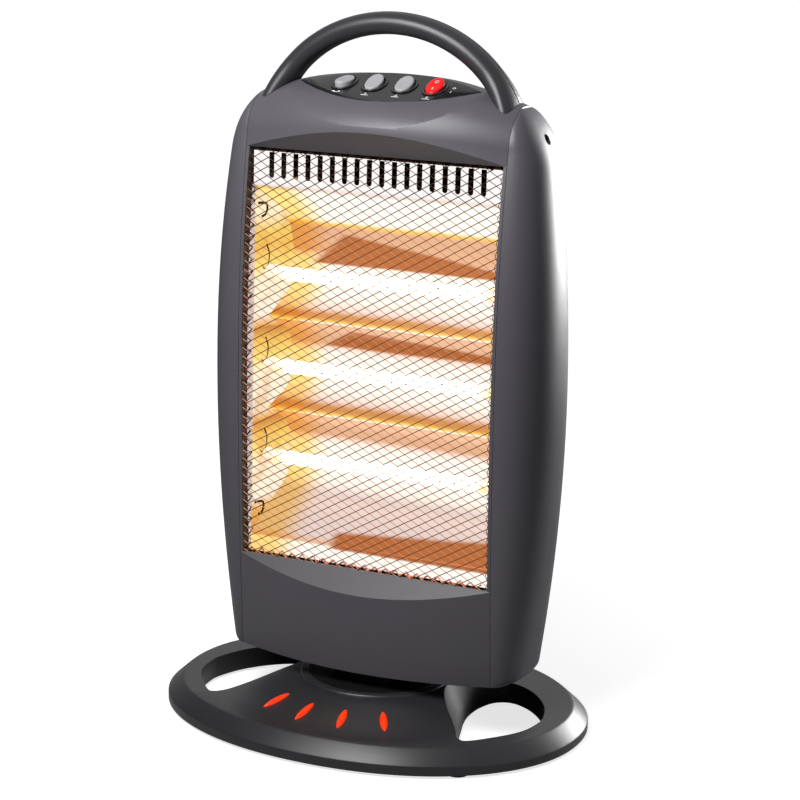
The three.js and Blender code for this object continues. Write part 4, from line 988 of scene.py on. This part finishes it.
def less(tree, value):
    """One minus a value."""
    return node(tree, "ShaderNodeMath", {0: 1.0, 1: value}, operation="SUBTRACT").outputs[0]


def mixed(tree, share, a, b, **settings):
    made = node(tree, "ShaderNodeMix", {0: share, 6: a, 7: b}, data_type="RGBA", **settings)
    return made.outputs[2]


def wavering(tree, place, amount):
    """The object's X, Y and Z, with Z shifted by a slow noise so that no band is ruler-straight."""
    split = node(tree, "ShaderNodeSeparateXYZ", {"Vector": place}).outputs
    cloud = node(tree, "ShaderNodeTexNoise", {"Vector": place, "Scale": 22.0, "Detail": 2.0}).outputs["Fac"]
    inputs = {0: cloud, 1: amount * MM, 2: split["Z"]}
    shifted_z = node(tree, "ShaderNodeMath", inputs, operation="MULTIPLY_ADD").outputs[0]
    return split["X"], split["Y"], shifted_z


# %% [markdown]
# ## Guard
#
# The guard is steel mesh with flattened diamonds, about 11 by 6.4 mm, bowed like the front. One family
# of strands lies edge on to the eye and looks dark, the other shows its flat side to the lamps. Both carry
# painted light, a warm glow by height in front of the lamps, stronger on the second family. The
# mesh is folded back round the window, where its ends bunch up.

# %% Guard strands
STRAND_SLOPE = math.tan(math.radians(30))
CELL_HIGH = 6.4
GUARD_HALF = 98.2
GUARD_LOW, GUARD_HIGH = 115.3, 415.7


def lit_wire(name, base, glow, strength):
    """Heat-browned steel wire with painted light: in front of the lamps it glows by height, as their light
    floods round it, so it looks paler; in front of the strip the glow fades out.
    """
    made, tree, shader, place = start_finish(name, base, 0.5, 1.0)
    z = wavering(tree, place, 6.0)[2]
    # Painted light: the glow colour up to the slope, none in front of the strip.
    stops = [(115, glow), (372, glow), (392, "#000000"), (416, "#000000")]
    tree.links.new(ramp(tree, z, stops), shader.inputs["Emission Color"])
    shader.inputs["Emission Strength"].default_value = strength
    return made


MESH_FINISH = {
    1: lit_wire("browned_steel_strand_painted_glow", "#38251c", "#b5672f", 0.25),
    -1: lit_wire("brown_steel_strand_bright_painted_glow", "#4a3226", "#e8a27c", 0.6),
}


def guard_face(z):
    return front_edge(z) + 0.9


def wire(path, radius, corners=6):
    """A tube along a path: at every point a ring in the plane square to the path."""
    path = np.asarray(path, float)
    along = np.gradient(path, axis=0)
    along /= np.linalg.norm(along, axis=1)[:, None]
    side = np.cross(along, [0.3, 1.0, 0.2])
    side /= np.linalg.norm(side, axis=1)[:, None]
    other = np.cross(along, side)
    t = np.linspace(0, 2 * math.pi, corners, endpoint=False)
    ring = np.cos(t)[:, None] * side[:, None] + np.sin(t)[:, None] * other[:, None]
    return skin(path[:, None] + radius * ring)


def strand_lines(lean, steps=15):
    """All strands that lean one way, as straight lines in X and Z between the guard's edges. They are
    laid on the bowed face, one family a little in front of the other."""
    slope = lean * STRAND_SLOPE
    reach = GUARD_HALF * STRAND_SLOPE
    start = np.arange(GUARD_LOW - reach + 1.5, GUARD_HIGH + reach, CELL_HIGH)
    ends = np.stack([(GUARD_LOW - start) / slope, (GUARD_HIGH - start) / slope])
    low = np.clip(ends.min(0), -GUARD_HALF, GUARD_HALF)
    high = np.clip(ends.max(0), -GUARD_HALF, GUARD_HALF)
    keep = high - low > 2
    x = low[keep, None] + (high - low)[keep, None] * np.linspace(0, 1, steps)
    z = start[keep, None] + slope * x
    return np.stack([x, guard_face(z) - 0.25 * lean, z], -1)


for lean, name, radius in ((1, "mesh_rising", 0.32), (-1, "mesh_falling", 0.27)):
    made = blank(join(*[wire(line, radius) for line in strand_lines(lean)]))
    finished(made, name, MESH_FINISH[lean], "head", ["wire_guard"], smooth=50)


# %% Guard's folded edges
def bunched(start, end, swing, count, radius, seed):
    """Crumpled strand ends along a line: count wires, each a zigzag across the line with some chance
    in its turns. swing holds the widths of the zigzag in X, Y and Z."""
    chance = np.random.default_rng(seed)
    start, end = np.asarray(start, float), np.asarray(end, float)
    parts = []
    for _ in range(count):
        turns = int(np.linalg.norm(end - start) / 4.2)
        share = (np.arange(turns) + 0.25 * chance.random(turns)) / turns
        side = np.where(np.arange(turns) % 2, 1.0, -1.0)[:, None] * np.array(swing) / 2
        wobble = (chance.random((turns, 3)) - 0.5) * np.array(swing) * 0.5
        parts.append(wire(start + (end - start) * share[:, None] + side + wobble, radius, 5))
    return join(*parts)


def bowed(part):
    """Moves a part's points forward or back with the guard's bow at their height."""
    points, faces = part
    points = points.copy()
    points[:, 1] += guard_face(points[:, 2])
    return points, faces


side_edge = join(
    bowed(bunched((-97.0, 6.0, 117), (-97.0, 6.0, 414), (0.8, 8.0, 0), 3, 0.38, 1)),
    bowed(bunched((-97.4, 2.0, 117), (-97.4, 2.0, 414), (0.8, 2.4, 0), 2, 0.34, 2)),
    bowed(bunched((97.4, 1.2, 117), (97.4, 1.2, 414), (1.2, 1.2, 0), 1, 0.3, 3)),
)
low_edge = bowed(bunched((-97, 1.0, 117.3), (97, 1.0, 117.3), (0, 1.6, 3.2), 3, 0.34, 4))
high_edge = bowed(bunched((-97, 0.6, 414.6), (97, 0.6, 414.6), (0, 1.0, 1.8), 2, 0.3, 5))
for name, part, finish in (
    ("mesh_side_edges", side_edge, bare_wire),
    ("mesh_low_edge", low_edge, orange_brown_wire),
    ("mesh_high_edge", high_edge, bare_wire),
):
    finished(blank(part), name, finish, "head", ["wire_guard"], smooth=50)

# %% [markdown]
# ## Reflector and lamps
#
# One polished sheet is rolled into three troughs. Above them it stands upright as a slotted strip that
# lets cooling air out, and below it ends in a lip. The mirror shows the lamps almost everywhere and so
# looks white-hot. It goes brown only where it shows the dark room: under the slope, at the top of each
# trough and just above the lip. That light is painted on, by height and by distance from the middle.
#
# A few colours are enough for all three troughs, because each repeats the same order of light from its
# foot to its crest. The loop below writes that order once, in millimetres above or below the lamp.

# %% Reflector's and cheeks' finishes
HOT, CREAM, TAN, BROWN = "#fffff2", "#f2dcd0", "#dfae8a", "#ad6233"
YELLOW, ORANGE, ROSE, DAYLIGHT = "#f8c95a", "#cf8d4d", "#dccbc5", "#f6f3f1"
# Brown bands: top, bottom and left edges, each the height or place on the middle line and the slope.
BROWN_BANDS = [
    ((345.5, -0.14), (328.5, 0.0), (-466.0, 1.2)),
    ((280.0, -0.085), (267.5, 0.0), (-541.0, 1.8)),
    ((138.0, 0.06), (126.0, 0.0), (-30.0, 0.0)),
]


def trough_light():
    """Stops from the lip up to the top trough: each lamp whitens its trough, and each crest has a bright
    line with an orange one over it."""
    stops = [(115, DAYLIGHT), (127.5, HOT), (129, TAN), (133, ROSE), (157, ROSE)]
    for i, lamp in enumerate(LAMP_Z):
        if i:
            stops += [(lamp - 31, YELLOW), (lamp - 29.5, ORANGE), (lamp - 27, ORANGE), (lamp - 23.5, CREAM)]
        stops += [(lamp - 16, HOT), (lamp + 8, HOT), (lamp + 13, CREAM), (lamp + 16, TAN)]
        if i < 2:
            stops += [(lamp + 33.5, TAN), (lamp + 35, ORANGE), (lamp + 36, HOT)]
    return stops


def slope_light():
    """Stops for the slope above the top trough and for the upright strip."""
    return [(340, TAN), (356, TAN), (358.5, YELLOW), (362, HOT), (385, HOT), (388, ROSE), (391, DAYLIGHT)]


def lit_aluminium():
    """Bright aluminium with the lamps' light painted on it."""
    made, tree, shader, place = start_finish("bright_rolled_aluminium", "#3a2a1e", 0.3, 1.0)
    x, _, z = wavering(tree, place, 1.6)
    above_lamps = past(tree, z, x, 0.0, 345, 3)
    colour = mixed(tree, above_lamps, ramp(tree, z, trough_light()), ramp(tree, z, slope_light()))
    for (top, top_slope), (bottom, bottom_slope), (left, left_slope) in BROWN_BANDS:
        above = past(tree, z, x, bottom_slope, bottom, 1.2)
        below = less(tree, past(tree, z, x, top_slope, top, 1.6))
        inside = past(tree, x, z, left_slope, left, 5)
        share = times(tree, times(tree, above, below), inside)
        colour = mixed(tree, share, colour, linear(BROWN))
    left_end = less(tree, past(tree, x, z, 0.0, -66, 14))
    under_strip = less(tree, past(tree, z, x, 0.0, 388, 1))
    warm = times(tree, times(tree, left_end, under_strip), 0.9)
    colour = mixed(tree, warm, colour, linear("#ffd875"), blend_type="MULTIPLY")
    tree.links.new(colour, shader.inputs["Emission Color"])
    shader.inputs["Emission Strength"].default_value = 1.08
    return made


def cheek_light():
    """Painted light on a cheek, as stops: cream beside each lamp, then yellow, gold and copper up to the
    crest.
    """
    stops = [(115, "#b9712f"), (140, "#e6a550")]
    for lamp in LAMP_Z:
        stops += [(lamp - 35, "#f0b45a"), (lamp - 25, "#fffbe8"), (lamp, "#fff7d8"), (lamp + 10, "#ffe582")]
        stops += [(lamp + 23, "#f6c45e"), (lamp + 33, "#cb823e")]
    stops[-1] = (356, "#fbd76c")
    return [*stops, (372, "#fff7d4"), (390, "#fbe2a2")]


def lit_cheek():
    """Aluminium cheek with the lamps' light painted on it as emission, and painted reflections of the
    crests as orange patches. The edge in front of the bend is painted grey-white, as daylight on it."""
    made, tree, shader, place = start_finish("warm_lit_aluminium", "#4a3620", 0.35, 1.0)
    x, y, z = wavering(tree, place, 9.0)
    colour = ramp(tree, z, cheek_light())
    crest_reflection_noise = node(tree, "ShaderNodeTexNoise", {"Vector": place, "Scale": 45.0, "Detail": 3.0}).outputs["Fac"]
    crest_reflections = node(tree, "ShaderNodeMapRange", {"Value": crest_reflection_noise, "From Min": 0.5, "From Max": 0.75})
    colour = mixed(tree, times(tree, crest_reflections.outputs["Result"], 0.7), colour, linear("#e09a3e"))
    edge = less(tree, past(tree, y, z, 0.0, -19, 1))
    colour = mixed(tree, edge, colour, linear("#cfc6c2"))
    tree.links.new(colour, shader.inputs["Emission Color"])
    shader.inputs["Emission Strength"].default_value = 0.95
    return made


def lit_quartz():
    """A quartz tube: white-hot between its ends, where the filament stops and it only glows yellow."""
    made, tree, shader, place = start_finish("lit_quartz_tube", "#fff7e6", 0.1)
    x = node(tree, "ShaderNodeSeparateXYZ", {"Vector": place}).outputs["X"]
    out = node(tree, "ShaderNodeMath", {0: x}, operation="ABSOLUTE").outputs[0]
    cold = node(tree, "ShaderNodeMapRange", {"Value": out, "From Min": 77 * MM, "From Max": 82 * MM})
    colour = mixed(tree, cold.outputs["Result"], linear("#fff4e0"), linear("#ffce7c"))
    tree.links.new(colour, shader.inputs["Emission Color"])
    power = node(tree, "ShaderNodeMapRange", {"Value": cold.outputs["Result"], "To Min": 2.6, "To Max": 0.9})
    tree.links.new(power.outputs["Result"], shader.inputs["Emission Strength"])
    return made


# The lamp caps get painted light: a warm glow as emission, for the lamps' light on them.
ceramic = lamp_ceramic.node_tree.nodes["Principled BSDF"].inputs
ceramic["Emission Color"].default_value = linear("#ecc9ae")
ceramic["Emission Strength"].default_value = 0.7
sheet_finish = lit_aluminium()
cheek_finish = lit_cheek()
quartz_finish = lit_quartz()

# %% Reflector
SHEET = 0.8
ROOM_FRONT, ROOM_REAR = 97.2, 87.8  # half widths between the cheeks
SLOT_COUNT, SLOT_PITCH, SLOT_RADIUS = 18, 9.72, 2.2
SLOT_FOOT, SLOT_TOP = 396, 412.6
TROUGH = [
    (-22, 413), (-22, 389), (18, 362), (25, 334), (24, 310),
    (-3, 289.5), (22, 275.5), (25, 253), (22, 234.5),
    (-3, 220.5), (22, 206.5), (25, 184), (21, 164), (-20.5, 128), (-20.5, 115),
]


def rolled_line(points, steps=9):
    """The sheet's line with each bend rounded: a quadratic curve from just before it to just after it.
    The bends deep in a trough are wide, and the crests are sharp."""
    p = np.asarray(points, float)
    line = [p[0]]
    for before, bend, after in zip(p[:-2], p[1:-1], p[2:]):
        wide = 12.0 if bend[0] > 15 else 1.5
        reach = min(wide, 0.45 * np.linalg.norm(bend - before), 0.45 * np.linalg.norm(after - bend))
        a = bend + reach * (before - bend) / np.linalg.norm(before - bend)
        b = bend + reach * (after - bend) / np.linalg.norm(after - bend)
        for t in np.linspace(0, 1, steps):
            line.append((1 - t) ** 2 * a + 2 * t * (1 - t) * bend + t * t * b)
    line.append(p[-1])
    return np.array(line)


def sheet_outline(line, thick):
    """The line, and the line moved along its normals by the sheet's thickness."""
    slope = np.gradient(line, axis=0)
    slope /= np.linalg.norm(slope, axis=1)[:, None]
    back = line + thick * np.stack([-slope[:, 1], slope[:, 0]], -1)
    return np.concatenate([line, back[::-1]])


def room_half(y):
    """Half of the room's width between the cheeks at a depth: level in front, narrowing behind."""
    t = np.clip((np.asarray(y, float) + 19.0) / 45.0, 0, 1)
    return ROOM_FRONT - GAP + (ROOM_REAR - ROOM_FRONT) * t


def reflector_sheet():
    """The outline of the sheet, stretched sideways to the cheeks at every depth."""
    outline = sheet_outline(rolled_line(TROUGH), SHEET)
    half = room_half(outline[:, 0])
    rings = [np.column_stack([side * half, outline]) for side in np.linspace(-1, 1, 9)]
    return skin(rings)


def strip_slot(i):
    """An upright slot with a round foot."""
    x = (i - (SLOT_COUNT - 1) / 2) * SLOT_PITCH
    t = np.linspace(math.pi, 2 * math.pi, 13)
    foot = np.stack([x + SLOT_RADIUS * np.cos(t), SLOT_FOOT + SLOT_RADIUS * np.sin(t)], -1).tolist()
    return pushed(foot + [[x + SLOT_RADIUS, SLOT_TOP], [x - SLOT_RADIUS, SLOT_TOP]], -30, -15, 1)


strip_slots = join(*[strip_slot(i) for i in range(SLOT_COUNT)])
reflector = carve(blank(reflector_sheet()), ("DIFFERENCE", strip_slots))
finished(reflector, "trough_reflector", sheet_finish, "head", ["reflector"])

# The back of the sheet, whose faces look towards +Y, gets no painted light; its dark steel finish is painted
# shade, as that side lies in the dark inside the head.
reflector.data.materials.append(dark_steel)
facing = np.zeros(len(reflector.data.polygons) * 3)
reflector.data.polygons.foreach_get("normal", facing)
reflector.data.polygons.foreach_set("material_index", (facing[1::3] > 0.1).astype(int))

# %% [markdown]
# Small wires make the lamp ends believable: a lead curls from each ceramic cap, and bent tabs of the
# cheek hold the mirror.


# %% Leads and tabs
def curled(points, count=20):
    """A smooth path: a Catmull-Rom curve through points, the end points being repeated."""
    p = np.asarray([points[0], *points, points[-1]], float)
    t = np.linspace(0, len(points) - 1, count)
    i = np.minimum(t.astype(int), len(points) - 2)
    f = (t - i)[:, None]
    a, b, c, d = p[i], p[i + 1], p[i + 2], p[i + 3]
    return catmull_rom(a, b, c, d, f)


LEAD = [(-96.6, -12, 8), (-95.4, -8, 3), (-94.6, -4, 6), (-94.2, -3, 14), (-94.6, -6, 21)]
TAB = [(-95.6, -12, 0), (-95.0, -8, 1), (-94.6, -6, 5), (-94.9, -7, 9), (-95.8, -13, 10), (-96.2, -16, 10)]
for i, z in enumerate(LAMP_Z):
    lead = wire(curled([(x, y, z + up) for x, y, up in LEAD]), 0.75, 8)
    made = blank(join(lead, mirror_x(lead)))
    finished(made, f"lamp_leads_{i + 1}", dark_steel, "head", smooth=60)
for i, z in enumerate((140, 364)):
    tab = wire(curled([(x, y, z + up) for x, y, up in TAB]), 1.0, 8)
    made = blank(join(tab, mirror_x(tab)))
    finished(made, f"cheek_tabs_{i + 1}", dark_steel, "head", smooth=60)

# %% Everything else keeps its CAD shape
CAD_FINISH = {
    "reflector_cheek": cheek_finish,
    "lamp_tube": quartz_finish,
    "lamp_cap": lamp_ceramic,
    "rubber_foot": soft_rubber,
    "cord_gland": soft_rubber,
    "swivel": gloss_black,
    "base_bottom": inner_abs,
    "tip_": inner_abs,
    "turntable": inner_abs,
    "cover_screw": dark_steel,
    "heat_shield": dark_steel,
}
for name in nodes:
    finish = next((f for start, f in CAD_FINISH.items() if name.startswith(start)), zinc_steel)
    nodes[name].data.materials.clear()
    nodes[name].data.materials.append(finish)

# %% [markdown]
# ## Studio
#
# The heater stands on a plain pale floor. A soft box close above the front lights the brow and fades
# downwards. The rest of the room is dim on the left and bright on the right and behind, which draws the
# pale edges along the right cover, the handle's foot and the bevel.


# %% Lamps
def soft_lamp(name, place, aim, size, power, spread=180):
    """A square area lamp that looks at a point. Its light may be kept to a cone of some degrees."""
    data = bpy.data.lights.new(name, "AREA")
    data.size = size
    data.energy = power
    data.spread = math.radians(spread)
    lamp = bpy.data.objects.new(name, data)
    bpy.context.scene.collection.objects.link(lamp)
    turn = (Vector(place) - Vector(aim)).to_track_quat("Z", "Y").to_matrix().to_4x4()
    lamp.matrix_world = Matrix.Translation(place) @ turn


soft_lamp("front_box", (-0.1, -0.5, 0.78), (0.0, 0.0, 0.42), 0.4, 9)
soft_lamp("rear_box", (0.5, 1.1, 0.45), (0.1, 0.0, 0.33), 0.5, 2.4, spread=50)


# %% Floor
def pale_floor():
    """White paper: where the camera looks, it brightens with distance until it meets the white room."""
    made, tree, shader, place = start_finish("pale_floor_paper", "#b4b4b4", 0.9)
    flat = node(tree, "ShaderNodeMapping", {"Vector": place, "Scale": (1.0, 1.0, 0.0)}).outputs["Vector"]
    away = node(tree, "ShaderNodeVectorMath", {0: flat}, operation="LENGTH").outputs["Value"]
    fade = {"Value": away, "From Min": 0.15, "From Max": 0.6, "To Min": 0.75, "To Max": 1.0}
    bright = node(tree, "ShaderNodeMapRange", fade).outputs["Result"]
    seen = tree.nodes.new("ShaderNodeLightPath").outputs["Is Camera Ray"]
    shader.inputs["Emission Color"].default_value = linear("#ffffff")
    tree.links.new(times(tree, bright, seen), shader.inputs["Emission Strength"])
    corners = [(-9000, -9000), (9000, -9000), (9000, 9000), (-9000, 9000)]
    floor = blank(pushed(corners, -4, -0.2, 2), "floor")
    floor.data.materials.append(made)


pale_floor()

# %% Room light
BRIGHT_SIDE = (0.55, 0.83, 0.1)


def room_light():
    """The world: white to the camera. To the object it is bright towards one side and dim opposite."""
    world = bpy.data.worlds.new("studio")
    world.use_nodes = True
    tree = world.node_tree
    toward = tree.nodes.new("ShaderNodeTexCoord").outputs["Generated"]
    side = node(tree, "ShaderNodeVectorMath", {0: toward, 1: BRIGHT_SIDE}, operation="DOT_PRODUCT")
    share = {"Value": side.outputs["Value"], "From Min": -0.4, "From Max": 0.5}
    soft = node(tree, "ShaderNodeMapRange", {**share, "To Min": 0.06, "To Max": 0.05})
    gloss = node(tree, "ShaderNodeMapRange", {**share, "To Min": 0.05, "To Max": 0.65})
    path = tree.nodes.new("ShaderNodeLightPath").outputs
    power = node(tree, "ShaderNodeMix", {0: path["Is Glossy Ray"], 2: soft.outputs[0], 3: gloss.outputs[0]})
    power = node(tree, "ShaderNodeMix", {0: path["Is Camera Ray"], 2: power.outputs[0], 3: 1.0})
    background = tree.nodes["Background"]
    background.inputs["Color"].default_value = (1, 1, 1, 1)
    tree.links.new(power.outputs[0], background.inputs["Strength"])
    bpy.context.scene.world = world


room_light()
bpy.context.scene.view_settings.view_transform = "Standard"
